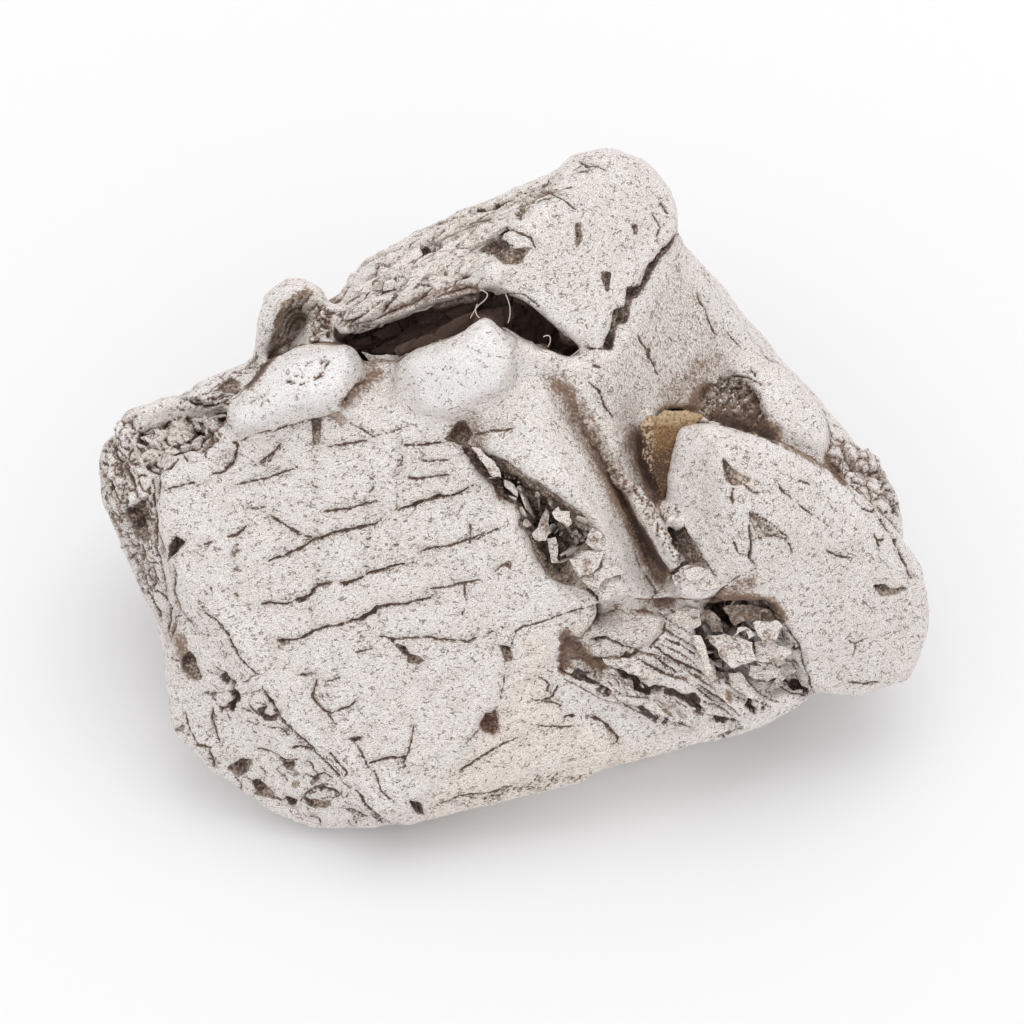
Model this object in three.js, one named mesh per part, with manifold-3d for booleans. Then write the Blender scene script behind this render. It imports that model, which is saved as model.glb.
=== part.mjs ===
// An iron meteorite: one lump of nickel-iron, torn along its crystal planes and melted smooth
// on the way down. A broad grooved face looks out of the front, two swollen lips stand along its
// top, a spine runs down from them to the right, and behind them a laminated block is split off
// by a deep fissure. A blunt nose closes the right side and a thin curled shell the left.
// The back carries shallow thumbprints, and the lump rests on one flat, worn seat. A crust of
// ochre soil is lodged in the hollow beside the nose.
//
// The pieces are laid out in the frame of the broad face: X to the right, Y up the face and Z
// out of it, in millimetres. At the end the lump is leaned back and put down on its seat.
import * as THREE from "three";
import { ConvexGeometry } from "three/addons/geometries/ConvexGeometry.js";
import { mergeVertices } from "three/addons/utils/BufferGeometryUtils.js";
import Module from "manifold-3d";

// Driving dimensions.
const LEAN_DEG = 30; // how far the broad face leans back from level
const SEAT_DEPTH = 10; // from the middle of the broad face down to the seat
const SEAT_MIDDLE_Y = 1.4; // middle of the seat, behind the middle of the broad face
const SMALL_KNOB = 0.85; // knobs under this radius are left as plain icosahedra
const CRUST_GAP = 0.3; // between the ochre crust and the iron around it
const IRON = { color: 0xb9b0aa, roughness: 0.55, metalness: 0.7 };
const OCHRE = { color: 0x9a7038, roughness: 0.9, metalness: 0 };

const wasm = await Module();
wasm.setup();

// --- Ways of making a chunk ---------------------------------------------------------------

function solidOf(geometry) {
  const bare = new THREE.BufferGeometry();
  const flat = geometry.index ? geometry.toNonIndexed() : geometry;
  bare.setAttribute("position", flat.getAttribute("position"));
  const merged = mergeVertices(bare, 1e-4);
  return new wasm.Manifold(
    new wasm.Mesh({
      numProp: 3,
      vertProperties: merged.attributes.position.array,
      triVerts: new Uint32Array(merged.index.array),
    }),
  );
}

// A chunk is the tight skin around round knobs, each [x, y, z, radius], all of them grown by
// the same margin.
function chunk(knobs, margin = 0) {
  const skin = knobs.flatMap(([x, y, z, radius]) => {
    const detail = radius < SMALL_KNOB ? 0 : 1;
    const knob = new THREE.IcosahedronGeometry(radius + margin, detail).translate(x, y, z);
    const corners = knob.getAttribute("position");
    return Array.from({ length: corners.count }, (_, i) =>
      new THREE.Vector3().fromBufferAttribute(corners, i),
    );
  });
  return solidOf(new ConvexGeometry(skin));
}

// A slit is an outline in the plane of the broad face, sunk between two depths.
function slit(outline, bottom, top) {
  const shape = new THREE.Shape(outline.map(([x, y]) => new THREE.Vector2(x, y)));
  const prism = new THREE.ExtrudeGeometry(shape, { depth: top - bottom, bevelEnabled: false });
  return solidOf(prism.translate(0, 0, bottom));
}

// --- The body under the broken surface -----------------------------------------------------

const core = chunk([
  [-15.2, 0.0, -2.0, 1.6],
  [-13.2, -8.8, -2.0, 1.6],
  [-8.7, -12.4, -2.5, 1.8],
  [2.5, -11.0, -1.5, 1.6],
  [10.0, -8.2, -3.5, 1.4],
  [15.2, -4.5, -4.0, 1.8],
  [14.0, -0.5, -4.0, 1.6],
  [10.5, 4.0, -4.0, 1.6],
  [4.8, 11.3, -3.0, 1.5],
  [0.0, 11.0, -4.0, 1.4],
  [-6.0, 7.8, -3.0, 1.4],
  [-12.0, 3.5, -3.0, 1.4],
  [-10.0, -10.0, -5.4, 1.6],
  [-3.0, -12.0, -4.4, 1.6],
  [6.0, -10.0, -5.4, 1.6],
  [10.0, -6.5, -7.6, 1.6],
  [10.5, 1.5, -10.5, 2.0],
  [6.0, 5.0, -12.5, 2.0],
  [-2.0, 4.5, -13.2, 2.0],
  [-9.5, 0.0, -10.6, 2.0],
  [-8.0, -2.0, 0.5, 1.0],
  [-2.0, 2.0, 0.5, 1.0],
  [3.0, 4.0, 0.5, 1.0],
  [2.0, -6.0, 0.0, 1.0],
  [8.0, -3.0, 0.0, 1.0],
]);

// The back is one worn dome that all of the chunks in front grow out of.
const backDome = chunk([
  [4.0, 12.1, -5.0, 1.7],
  [-1.0, 10.0, -6.0, 1.9],
  [-6.2, 7.5, -6.0, 1.8],
  [-9.4, 5.8, -5.0, 1.6],
  [-14.2, 1.0, -4.5, 1.7],
  [-15.0, -2.4, -4.5, 1.6],
  [9.2, 4.5, -5.5, 1.7],
  [12.4, 2.2, -5.5, 1.7],
  [14.8, 0.0, -5.0, 1.6],
  [3.0, 8.6, -11.0, 2.2],
  [-4.0, 6.6, -11.5, 2.2],
  [8.6, 3.6, -10.6, 2.0],
  [-9.6, 2.6, -9.4, 2.0],
]);

// Thumbprints melted into the back: the way out to each, then its ball's radius and its depth.
const THUMBPRINTS = [
  { outward: [-0.9, 0.3, -0.5], radius: 4.6, depth: 0.9 },
  { outward: [-0.5, 0.7, -0.5], radius: 4.0, depth: 0.8 },
  { outward: [-0.5, 0.3, -0.9], radius: 5.0, depth: 1.1 },
  { outward: [0.0, 0.75, -0.6], radius: 5.0, depth: 1.0 },
  { outward: [0.05, 0.4, -0.95], radius: 4.2, depth: 0.9 },
  { outward: [0.45, 0.7, -0.5], radius: 4.2, depth: 0.9 },
  { outward: [0.6, 0.3, -0.75], radius: 5.0, depth: 1.1 },
  { outward: [0.95, 0.15, -0.45], radius: 4.4, depth: 0.9 },
  { outward: [0.85, -0.35, -0.5], radius: 4.6, depth: 0.9 },
  { outward: [-0.95, -0.25, -0.4], radius: 4.0, depth: 0.8 },
];
const MIDDLE = new THREE.Vector3(0, 0, -3); // roughly the middle of the lump

function thumbprint(lump, { outward, radius, depth }) {
  const way = new THREE.Vector3(...outward).normalize();
  const eye = MIDDLE.clone().addScaledVector(way, 60);
  const ray = new THREE.Raycaster(eye, way.clone().negate());
  const { point } = ray.intersectObject(lump)[0];
  const { x, y, z } = point.addScaledVector(way, radius - depth);
  return solidOf(new THREE.IcosahedronGeometry(radius, 2).translate(x, y, z));
}

// --- The broad face and the lips along its top ---------------------------------------------

const broadFace = chunk([
  [-14.6, 0.2, 2.9, 0.7],
  [-13.6, 1.0, 3.0, 0.7],
  [-11.8, 2.4, 3.6, 0.8],
  [-7.5, 3.2, 4.2, 0.8],
  [-3.0, 2.6, 4.8, 0.6],
  [-2.2, 1.4, 4.7, 0.5],
  [-0.8, -0.8, 4.3, 0.5],
  [0.3, -2.6, 4.0, 0.5],
  [1.8, -4.1, 3.7, 0.5],
  [3.3, -4.9, 3.5, 0.4],
  [0.4, -6.0, 3.0, 0.4],
  [-0.8, -8.6, 2.2, 0.5],
  [-2.2, -10.8, 1.2, 0.6],
  [-3.8, -12.6, 0.4, 0.6],
  [-5.8, -13.8, 0.0, 0.5],
  [-7.4, -12.3, 0.4, 0.5],
  [-9.6, -9.7, 1.1, 0.6],
  [-12.0, -6.4, 1.9, 0.7],
  [-14.2, -3.4, 2.4, 0.7],
  [-15.0, -1.4, 2.6, 0.6],
  [-6.0, -6.0, -2.0, 3.0],
  [-7.0, 1.0, -2.0, 3.0],
]);

const leftLip = chunk([
  [-10.0, 4.7, 4.2, 0.9],
  [-8.8, 5.3, 4.2, 0.9],
  [-7.4, 5.4, 4.3, 0.8],
  [-7.0, 4.8, 4.6, 0.7],
  [-7.8, 4.2, 5.2, 0.9],
  [-9.2, 4.3, 5.4, 0.9],
  [-9.2, 3.4, 4.6, 0.8],
  [-9.8, 4.8, -1.5, 1.1],
  [-7.6, 5.2, -1.5, 1.0],
]);

const leftLipFoot = chunk([
  [-11.5, 3.1, 4.1, 0.9],
  [-11.6, 2.5, 3.8, 0.8],
  [-10.7, 3.6, 5.0, 1.0],
  [-9.5, 3.6, 5.1, 0.9],
  [-10.2, 2.7, 4.6, 0.7],
  [-10.4, 4.4, 4.2, 0.8],
  [-11.4, 3.0, -0.5, 1.0],
  [-10.0, 4.2, -0.5, 1.0],
]);

const rightLip = chunk([
  [-1.3, 6.8, 6.3, 0.7],
  [-0.8, 5.9, 6.5, 0.8],
  [-0.8, 4.9, 6.2, 0.9],
  [-2.0, 5.3, 6.2, 0.9],
  [-3.2, 5.2, 5.6, 0.9],
  [-4.3, 4.9, 4.9, 0.9],
  [-4.3, 4.0, 4.9, 0.8],
  [-2.6, 3.8, 5.7, 0.8],
  [-1.2, 4.0, 5.6, 0.7],
  [-1.4, 6.0, -1.0, 1.1],
  [-4.0, 4.8, -1.0, 1.1],
]);

// A flat tail closes the gap between the two lips.
const lipTail = chunk([
  [-6.9, 3.3, 4.2, 0.5],
  [-6.0, 5.2, 3.6, 0.5],
  [-4.8, 5.0, 4.0, 0.5],
  [-4.8, 3.4, 4.6, 0.6],
  [-5.4, 3.4, 1.0, 1.0],
]);

// --- The spine, its saddle and the blades in the cavity beside it ---------------------------

const spine = chunk([
  [-1.1, 6.4, 5.6, 0.6],
  [-0.1, 5.8, 5.4, 0.5],
  [-1.4, 2.9, 5.2, 0.5],
  [-0.9, 2.0, 5.2, 0.5],
  [0.7, 1.0, 5.2, 0.5],
  [2.4, -0.5, 5.0, 0.5],
  [3.9, -2.4, 4.6, 0.5],
  [4.4, -4.3, 4.0, 0.5],
  [5.8, -4.2, 3.6, 0.4],
  [5.0, -2.2, 4.2, 0.4],
  [3.3, 0.7, 4.8, 0.4],
  [1.9, 2.9, 5.0, 0.4],
  [0.8, 4.9, 5.2, 0.4],
  [0.2, 3.0, 0.0, 1.4],
  [3.8, -2.4, 0.0, 1.2],
]);

const saddle = chunk([
  [5.2, -4.5, 3.6, 0.35],
  [6.6, -4.4, 3.2, 0.35],
  [8.3, -4.3, 3.4, 0.4],
  [7.4, -3.8, 3.0, 0.4],
  [5.6, -4.0, 3.2, 0.4],
  [6.6, -3.6, -0.5, 1.0],
]);

// Pale flakes close the low end of the cavity.
const cavityFloor = chunk([
  [1.9, -2.7, 2.4, 0.3],
  [3.6, -3.0, 2.6, 0.3],
  [4.2, -4.4, 2.8, 0.4],
  [2.4, -4.0, 2.6, 0.3],
  [3.0, -3.4, 0.0, 1.0],
]);

// Torn blades lean across the cavity, from its left wall towards the spine.
const cavityBlades = [
  [-0.7, 0.6, 0.3, 1.0],
  [0.5, -0.7, 1.5, -0.1],
  [1.0, -1.9, 2.3, -0.9],
  [1.4, -2.9, 3.0, -2.0],
  [2.3, -3.9, 3.6, -2.8],
].map(([fromX, fromY, toX, toY]) =>
  chunk([
    [fromX, fromY, 3.0, 0.25],
    [toX, toY, 2.6, 0.25],
    [(fromX + toX) / 2, (fromY + toY) / 2, 0.8, 0.6],
  ]),
);

// --- The upper block, split off behind the lips ---------------------------------------------

const upperFace = chunk([
  [-0.9, 9.1, 5.6, 0.6],
  [-0.2, 8.9, 5.6, 0.6],
  [1.4, 7.6, 5.4, 0.5],
  [3.2, 6.6, 4.9, 0.5],
  [4.4, 8.6, 4.1, 0.4],
  [6.4, 11.2, 2.2, 0.6],
  [6.3, 12.0, 1.8, 0.8],
  [5.2, 13.4, 1.8, 0.9],
  [3.9, 13.9, 1.8, 0.9],
  [2.8, 13.7, 2.0, 0.8],
  [1.2, 11.6, 5.0, 0.7],
  [2.2, 12.6, 3.8, 0.6],
  [0.2, 10.8, 5.2, 0.7],
  [4.2, 12.6, -4.5, 1.9],
  [5.2, 10.8, -4.0, 1.8],
  [2.0, 8.0, -2.0, 1.4],
]);

// Its left half is a stack of sheets, each set back from the one in front of it.
const RIM_ROOT = [
  [-5.6, 8.2, -4.0, 1.3],
  [-2.0, 9.6, -4.5, 1.4],
  [1.2, 10.9, -5.0, 1.5],
];
const laminatedRim = [
  [
    [-0.6, 9.1, 5.3, 0.4],
    [-2.0, 8.8, 5.0, 0.3],
    [-4.2, 8.2, 4.2, 0.3],
    [-5.8, 7.4, 3.6, 0.3],
    [-7.2, 7.1, 3.0, 0.3],
    [-7.2, 7.6, 2.8, 0.3],
    [-4.0, 9.0, 4.0, 0.3],
    [-0.4, 10.2, 5.0, 0.4],
  ],
  [
    [-7.5, 7.6, 1.9, 0.4],
    [-6.6, 8.6, 1.8, 0.4],
    [-4.0, 9.7, 2.6, 0.4],
    [-1.0, 10.9, 3.6, 0.4],
    [0.4, 11.5, 4.2, 0.4],
  ],
  [
    [-7.3, 8.2, 0.8, 0.5],
    [-6.2, 9.4, 0.8, 0.6],
    [-4.2, 10.5, 1.0, 0.6],
    [-2.2, 11.5, 1.2, 0.6],
    [0.6, 12.6, 1.6, 0.6],
    [2.6, 13.3, 1.8, 0.8],
  ],
].map((sheet) => chunk([...sheet, ...RIM_ROOT]));

// The right slope falls away from the block's crack to the back of the nose.
const rightSlope = chunk([
  [4.2, 6.2, 4.5, 0.5],
  [6.9, 10.4, 1.8, 0.4],
  [9.2, 7.5, -0.2, 0.5],
  [10.4, 5.9, -1.2, 0.5],
  [8.4, 3.2, 0.6, 0.5],
  [5.6, 3.2, 3.0, 0.5],
  [5.0, 1.2, 3.2, 0.5],
  [4.0, 2.6, 3.9, 0.5],
  [2.0, 4.6, 4.7, 0.5],
  [1.2, 5.6, 4.9, 0.5],
  [2.8, 5.4, 4.8, 0.4],
  [4.0, 5.0, 4.5, 0.5],
  [5.5, 5.0, -3.0, 2.0],
  [7.5, 6.0, -4.0, 2.0],
]);

// A thin rib stands in the trough between the spine and the nose.
const troughRib = chunk([
  [4.4, 1.2, 3.2, 0.4],
  [5.4, -0.9, 2.9, 0.35],
  [6.3, -2.3, 2.6, 0.35],
  [7.0, -3.2, 2.2, 0.35],
  [5.4, 0.4, 2.6, 0.4],
  [6.0, -1.8, -1.0, 0.8],
]);

// --- The nose and the lumps behind it -------------------------------------------------------

const nose = chunk([
  [7.3, 2.4, 4.0, 0.55],
  [8.2, 2.4, 4.6, 0.6],
  [9.0, 1.4, 5.2, 0.6],
  [9.8, -1.6, 5.0, 0.6],
  [9.4, -3.0, 4.4, 0.5],
  [8.4, -3.6, 3.6, 0.5],
  [7.7, -1.9, 3.4, 0.4],
  [6.9, -0.8, 3.2, 0.4],
  [6.9, 0.6, 3.6, 0.4],
  [11.2, 1.6, 4.0, 0.5],
  [13.4, 0.4, 2.8, 0.5],
  [15.6, -1.8, 1.2, 0.9],
  [16.8, -3.6, 0.0, 0.9],
  [17.1, -6.0, -1.2, 0.9],
  [16.5, -7.5, -1.6, 0.9],
  [14.6, -8.2, -1.2, 0.9],
  [13.4, -8.2, -0.2, 0.7],
  [12.2, -5.4, 2.2, 0.6],
  [11.0, -4.0, 3.4, 0.5],
  [9.5, 0.5, -2.0, 1.5],
  [13.0, -5.0, -5.0, 1.5],
]);

const backLump = chunk([
  [10.3, 4.9, -0.2, 0.7],
  [11.2, 4.9, -0.4, 0.7],
  [12.8, 3.0, -0.4, 0.8],
  [13.0, 1.9, 0.2, 0.6],
  [11.6, 2.6, 0.9, 0.5],
  [10.6, 3.9, 0.4, 0.5],
  [10.8, 4.4, -4.5, 1.4],
  [12.4, 2.2, -4.5, 1.5],
]);

const crumbledLump = chunk([
  [14.2, 1.6, -0.6, 0.6],
  [15.4, 0.8, -1.2, 0.7],
  [16.2, -0.4, -1.6, 0.7],
  [16.3, -2.0, -1.4, 0.7],
  [14.2, 0.4, 0.6, 0.5],
  [15.4, -1.0, 0.2, 0.5],
  [14.6, 0.2, -4.5, 1.3],
]);

// The floor of the dark hollow between the nose and the slope.
const hollowFloor = chunk([
  [8.0, 3.4, 1.4, 0.6],
  [10.4, 3.6, 0.2, 0.6],
  [12.8, 1.8, 0.0, 0.6],
  [14.6, 0.2, -0.6, 0.6],
  [8.4, 2.4, 1.8, 0.6],
  [10.0, 1.0, -2.0, 2.0],
  [13.0, -0.4, -2.4, 1.6],
]);

// --- The broken ground under the spine and the nose, and the foot below it --------------------

const brokenGround = chunk([
  [2.6, -6.2, 1.6, 0.4],
  [5.0, -5.2, 2.0, 0.4],
  [7.8, -5.2, 2.0, 0.4],
  [8.6, -6.4, 1.6, 0.4],
  [11.6, -8.4, 0.0, 0.5],
  [12.4, -8.9, -0.6, 0.5],
  [11.4, -9.4, -0.7, 0.55],
  [10.4, -9.9, -0.7, 0.55],
  [7.4, -10.7, -0.6, 0.5],
  [4.6, -11.5, -0.6, 0.5],
  [2.0, -9.6, 1.0, 0.5],
  [6.0, -8.0, -3.0, 1.5],
]);

// Parallel strata stand out of the broken ground, running down to the right.
const strata = [
  [2.2, -6.6, 5.2, -7.4, 8.4, -9.6],
  [3.0, -5.9, 6.2, -6.5, 9.0, -8.4],
  [2.0, -7.9, 4.6, -8.7, 7.6, -10.3],
].map(([fromX, fromY, midX, midY, toX, toY]) =>
  chunk([
    [fromX, fromY, 2.3, 0.25],
    [midX, midY, 2.1, 0.25],
    [toX, toY, 0.7, 0.25],
    [midX, midY, 0.0, 0.6],
  ]),
);

const foot = chunk([
  [1.5, -6.4, 2.6, 0.3],
  [1.4, -8.6, 2.0, 0.4],
  [0.3, -6.6, 2.8, 0.3],
  [-0.2, -9.8, 1.6, 0.5],
  [-1.6, -12.2, 0.4, 0.6],
  [-3.2, -13.6, -0.8, 0.7],
  [-5.2, -13.9, -1.0, 0.7],
  [0.0, -12.5, -0.4, 0.7],
  [2.6, -12.3, -0.6, 0.6],
  [4.0, -11.2, 0.2, 0.6],
  [2.4, -9.6, 1.4, 0.5],
  [0.0, -10.0, -3.0, 1.5],
]);

// Plates prised up where the strata meet the nose.
const plates = [
  [
    [9.4, -6.4, 2.4, 0.3],
    [10.0, -7.2, 2.2, 0.3],
    [11.4, -6.8, 1.9, 0.25],
    [10.6, -5.8, 2.4, 0.25],
    [9.6, -6.8, 0.5, 0.8],
  ],
  [
    [10.6, -8.4, 1.2, 0.25],
    [11.4, -7.4, 1.4, 0.25],
    [10.2, -7.9, 1.5, 0.25],
    [10.6, -7.9, -0.5, 0.6],
  ],
  [
    [9.6, -5.2, 2.2, 0.25],
    [11.0, -5.3, 2.2, 0.25],
    [11.2, -5.9, 1.9, 0.25],
    [10.4, -5.6, 0.5, 0.5],
  ],
  [
    [8.2, -6.4, 2.2, 0.2],
    [8.9, -8.0, 1.6, 0.2],
    [9.6, -9.4, 0.6, 0.2],
    [8.8, -7.6, 0.0, 0.5],
  ],
].map((knobs) => chunk(knobs));

// --- The left edge ----------------------------------------------------------------------------

// A worn rim stands round a shallow pocket, over a pitted bulge.
const leftRim = chunk([
  [-16.1, 2.8, 0.6, 0.7],
  [-17.3, 1.4, -0.2, 0.7],
  [-17.3, -0.4, -0.6, 0.6],
  [-16.4, -2.4, -0.6, 0.6],
  [-15.4, -4.8, -0.8, 0.6],
  [-15.4, -1.2, 1.6, 0.5],
  [-15.8, 0.6, 1.2, 0.5],
  [-16.0, 1.8, 1.0, 0.5],
  [-14.6, -4.6, 0.6, 0.5],
  [-15.4, 1.2, -3.5, 1.5],
  [-14.6, -2.4, -3.5, 1.5],
]);

const pocketFloor = chunk([
  [-15.6, 2.2, 0.2, 0.5],
  [-13.6, 3.0, 0.2, 0.5],
  [-12.2, 3.4, 0.2, 0.5],
  [-12.4, 1.8, 1.4, 0.5],
  [-14.4, 0.8, 1.4, 0.5],
  [-14.4, 1.8, -1.8, 1.1],
  [-11.9, 2.0, -1.0, 1.3],
]);

const pocketRim = chunk([
  [-15.6, 3.0, 0.4, 0.4],
  [-14.6, 3.5, 0.2, 0.5],
  [-12.8, 4.6, -0.2, 0.5],
  [-11.6, 5.1, 0.0, 0.5],
  [-11.4, 4.2, 0.8, 0.4],
  [-13.4, 3.7, 0.8, 0.3],
  [-13.6, 3.0, -3.5, 1.3],
  [-11.6, 4.0, -3.5, 1.3],
]);

const leftBulge = chunk([
  [-14.3, -7.6, -0.6, 0.9],
  [-14.1, -9.7, -1.2, 0.9],
  [-12.7, -11.5, -1.6, 0.9],
  [-10.3, -13.2, -2.0, 0.9],
  [-8.7, -13.95, -2.3, 0.9],
  [-6.0, -14.05, -1.5, 0.7],
  [-7.4, -13.2, -0.4, 0.5],
  [-10.4, -10.2, 0.6, 0.5],
  [-12.6, -7.0, 1.4, 0.5],
  [-13.8, -5.2, 1.4, 0.5],
  [-10.0, -9.0, -3.0, 1.5],
]);

// The shell curls over behind the left lip, round a hollow.
const shell = chunk([
  [-10.4, 7.8, 1.4, 0.8],
  [-9.5, 8.6, 1.6, 0.7],
  [-8.6, 8.3, 1.6, 0.5],
  [-10.6, 6.4, 1.2, 0.7],
  [-10.9, 5.4, 0.8, 0.6],
  [-8.0, 6.6, 2.2, 0.4],
  [-8.4, 7.4, 2.0, 0.4],
  [-9.4, 7.6, -3.5, 1.2],
  [-9.8, 5.6, -3.0, 1.4],
]);

const shellHollow = chunk([
  [-9.6, 7.6, 3.4, 0.6],
  [-9.0, 7.9, 3.4, 0.5],
  [-9.5, 7.3, 1.0, 0.5],
  [-10.4, 6.0, 3.2, 0.4],
  [-10.3, 5.6, 0.8, 0.4],
  [-9.4, 6.2, 3.2, 0.5],
]);

// --- The splits -------------------------------------------------------------------------------

// The deep fissure runs between the lips and the upper block.
const fissure = slit(
  [
    [-7.6, 6.5],
    [-6.6, 5.8],
    [-5.0, 5.75],
    [-3.6, 6.2],
    [-2.4, 6.6],
    [-1.3, 7.5],
    [0.0, 6.7],
    [1.6, 5.9],
    [3.1, 5.5],
    [3.2, 5.9],
    [2.2, 6.4],
    [0.6, 7.8],
    [-0.6, 8.3],
    [-1.8, 8.2],
    [-3.4, 8.0],
    [-5.4, 7.1],
    [-6.8, 7.1],
  ],
  0.5,
  9,
);

// A stepped crack runs on from it, up across the block.
const crack = slit(
  [
    [3.6, 5.9],
    [4.2, 5.95],
    [4.3, 6.9],
    [4.75, 7.2],
    [5.0, 8.1],
    [5.5, 8.8],
    [6.2, 9.9],
    [7.3, 11.2],
    [7.1, 11.3],
    [6.0, 10.0],
    [5.3, 9.0],
    [4.8, 8.7],
    [4.7, 8.0],
    [4.3, 7.7],
    [4.0, 7.0],
    [3.8, 6.3],
  ],
  1.0,
  7,
);

// --- The ochre crust --------------------------------------------------------------------------

const crustKnobs = [
  [6.3, 2.9, 2.9, 0.35],
  [7.3, 3.0, 2.6, 0.3],
  [6.0, 1.5, 2.9, 0.35],
  [6.7, 2.2, 3.5, 0.3],
  [6.4, 1.4, 1.2, 0.5],
  [7.0, 2.8, 0.8, 0.5],
];

// --- Putting the lump together ------------------------------------------------------------------

function leanBack(object) {
  object.rotation.x = THREE.MathUtils.degToRad(LEAN_DEG);
  object.position.set(0, -SEAT_MIDDLE_Y, SEAT_DEPTH);
  object.updateMatrixWorld();
  return object;
}

// The ground under the seat, seen in the frame of the broad face.
function ground() {
  const slab = new THREE.BoxGeometry(80, 80, 40).toNonIndexed().translate(0, 0, -20);
  return solidOf(slab.applyMatrix4(leanBack(new THREE.Object3D()).matrixWorld.invert()));
}

function meshOf(solid, name, finish) {
  const { vertProperties, triVerts } = solid.getMesh();
  const geometry = new THREE.BufferGeometry();
  geometry.setAttribute("position", new THREE.BufferAttribute(vertProperties, 3));
  geometry.setIndex(new THREE.BufferAttribute(triVerts, 1));
  const mesh = new THREE.Mesh(geometry, new THREE.MeshStandardMaterial(finish));
  mesh.name = name;
  return mesh;
}

const chunks = [
  backDome, broadFace, leftLip, leftLipFoot, rightLip, lipTail,
  spine, saddle, cavityFloor, ...cavityBlades, upperFace, ...laminatedRim, rightSlope, troughRib,
  nose, backLump, crumbledLump, hollowFloor, brokenGround, ...strata, foot, ...plates,
  leftRim, pocketFloor, pocketRim, leftBulge, shell,
];
const whole = chunks.reduce((lump, piece) => lump.add(piece), core);
const unworn = meshOf(whole, "unworn", IRON);
const cuts = [
  ...THUMBPRINTS.map((print) => thumbprint(unworn, print)),
  shellHollow, fissure, crack, chunk(crustKnobs, CRUST_GAP), ground(),
];
const iron = cuts.reduce((lump, hollow) => lump.subtract(hollow), whole);

const meteorite = leanBack(new THREE.Group());
meteorite.add(meshOf(iron, "meteorite", IRON));
meteorite.add(meshOf(chunk(crustKnobs), "ochre_crust", OCHRE));
export default meteorite;
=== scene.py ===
import math

import bmesh
import bpy
import numpy as np
from mathutils import Matrix, Vector


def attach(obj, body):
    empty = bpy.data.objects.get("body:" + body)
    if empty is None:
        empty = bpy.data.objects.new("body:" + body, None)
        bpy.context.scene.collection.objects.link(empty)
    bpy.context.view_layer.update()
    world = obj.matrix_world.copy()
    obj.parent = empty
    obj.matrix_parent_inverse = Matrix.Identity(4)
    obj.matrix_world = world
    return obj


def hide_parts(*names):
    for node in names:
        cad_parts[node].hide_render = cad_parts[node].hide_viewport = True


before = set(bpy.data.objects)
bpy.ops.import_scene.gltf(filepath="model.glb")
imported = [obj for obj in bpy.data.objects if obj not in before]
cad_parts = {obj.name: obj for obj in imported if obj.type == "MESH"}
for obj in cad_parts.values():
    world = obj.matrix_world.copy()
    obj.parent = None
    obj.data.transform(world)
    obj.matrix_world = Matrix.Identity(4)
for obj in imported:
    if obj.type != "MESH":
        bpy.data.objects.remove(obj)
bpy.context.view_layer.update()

# --- The view and the studio ------------------------------------------------------------------
# The lump lies on its seat with its broad face leaning back. Everything below is laid out on
# that face, in millimetres: U to the right, V up the face, W out of it. A long lens looks
# straight down W, over a pale floor, under one broad soft light and a bright sky.

MM = 0.001
LEAN = math.radians(30)
FACE_MIDDLE = Vector((0, -1.4, 10))  # above the middle of the seat, in millimetres
LEANING = Matrix.Rotation(LEAN, 4, "X")
FACE = Matrix.Scale(MM, 4) @ Matrix.Translation(FACE_MIDDLE) @ LEANING

LENS_MM = 300
SENSOR_MM = 36
VIEW_WIDTH = 44.0
VIEW_CENTRE = (-0.13, -0.95)
FACE_HEIGHT = 2.0  # of the surface that the view is measured on, out of the face's middle
FLOOR_REACH = 1.5  # metres from the middle of the floor to its sides
WHITE_CARD = (0.86, 0.86, 0.87, 1)


def add_camera():
    away = FACE_HEIGHT + VIEW_WIDTH * LENS_MM / SENSOR_MM
    lens = bpy.data.cameras.new("camera")
    lens.lens = LENS_MM
    lens.sensor_width = SENSOR_MM
    lens.clip_start = 0.01
    camera = bpy.data.objects.new("camera", lens)
    camera.matrix_world = Matrix.Translation(FACE @ Vector((*VIEW_CENTRE, away))) @ LEANING
    bpy.context.collection.objects.link(camera)
    bpy.context.scene.camera = camera


def add_floor():
    bm = bmesh.new()
    bmesh.ops.create_grid(bm, x_segments=1, y_segments=1, size=FLOOR_REACH)
    mesh = bpy.data.meshes.new("floor")
    bm.to_mesh(mesh)
    bm.free()
    floor = bpy.data.objects.new("floor", mesh)
    bpy.context.collection.objects.link(floor)
    card = bpy.data.materials.new("white_card")
    card.use_nodes = True
    shader = card.node_tree.nodes["Principled BSDF"]
    shader.inputs["Base Color"].default_value = WHITE_CARD
    shader.inputs["Roughness"].default_value = 0.9
    mesh.materials.append(card)


def add_soft_light(name, towards, away, size, watts):
    """A round lamp `away` metres out along `towards`, facing the lump."""
    lamp = bpy.data.lights.new(name, "AREA")
    lamp.shape = "DISK"
    lamp.size = size
    lamp.energy = watts
    light = bpy.data.objects.new(name, lamp)
    way = Vector(towards).normalized()
    light.location = way * away
    light.rotation_euler = way.to_track_quat("Z", "Y").to_euler()
    bpy.context.collection.objects.link(light)


def add_sky(brightness):
    sky = bpy.data.worlds.new("sky")
    sky.use_nodes = True
    sky.node_tree.nodes["Background"].inputs["Color"].default_value = (1, 1, 1, 1)
    sky.node_tree.nodes["Background"].inputs["Strength"].default_value = brightness
    bpy.context.scene.world = sky
    bpy.context.scene.view_settings.view_transform = "Standard"


add_camera()
add_floor()
add_soft_light("window", towards=(0.1, 0.3, 1.0), away=0.5, size=0.4, watts=0.6)
add_sky(0.96)

# --- The iron ---------------------------------------------------------------------------------
# One lump of nickel-iron: torn along its crystal planes, melted smooth on the way down, and
# rusted brown in its cracks since. The body comes from the CAD solid, its edges are worn round,
# and the surface is then worked point by point with the marks that the real one carries.

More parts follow.
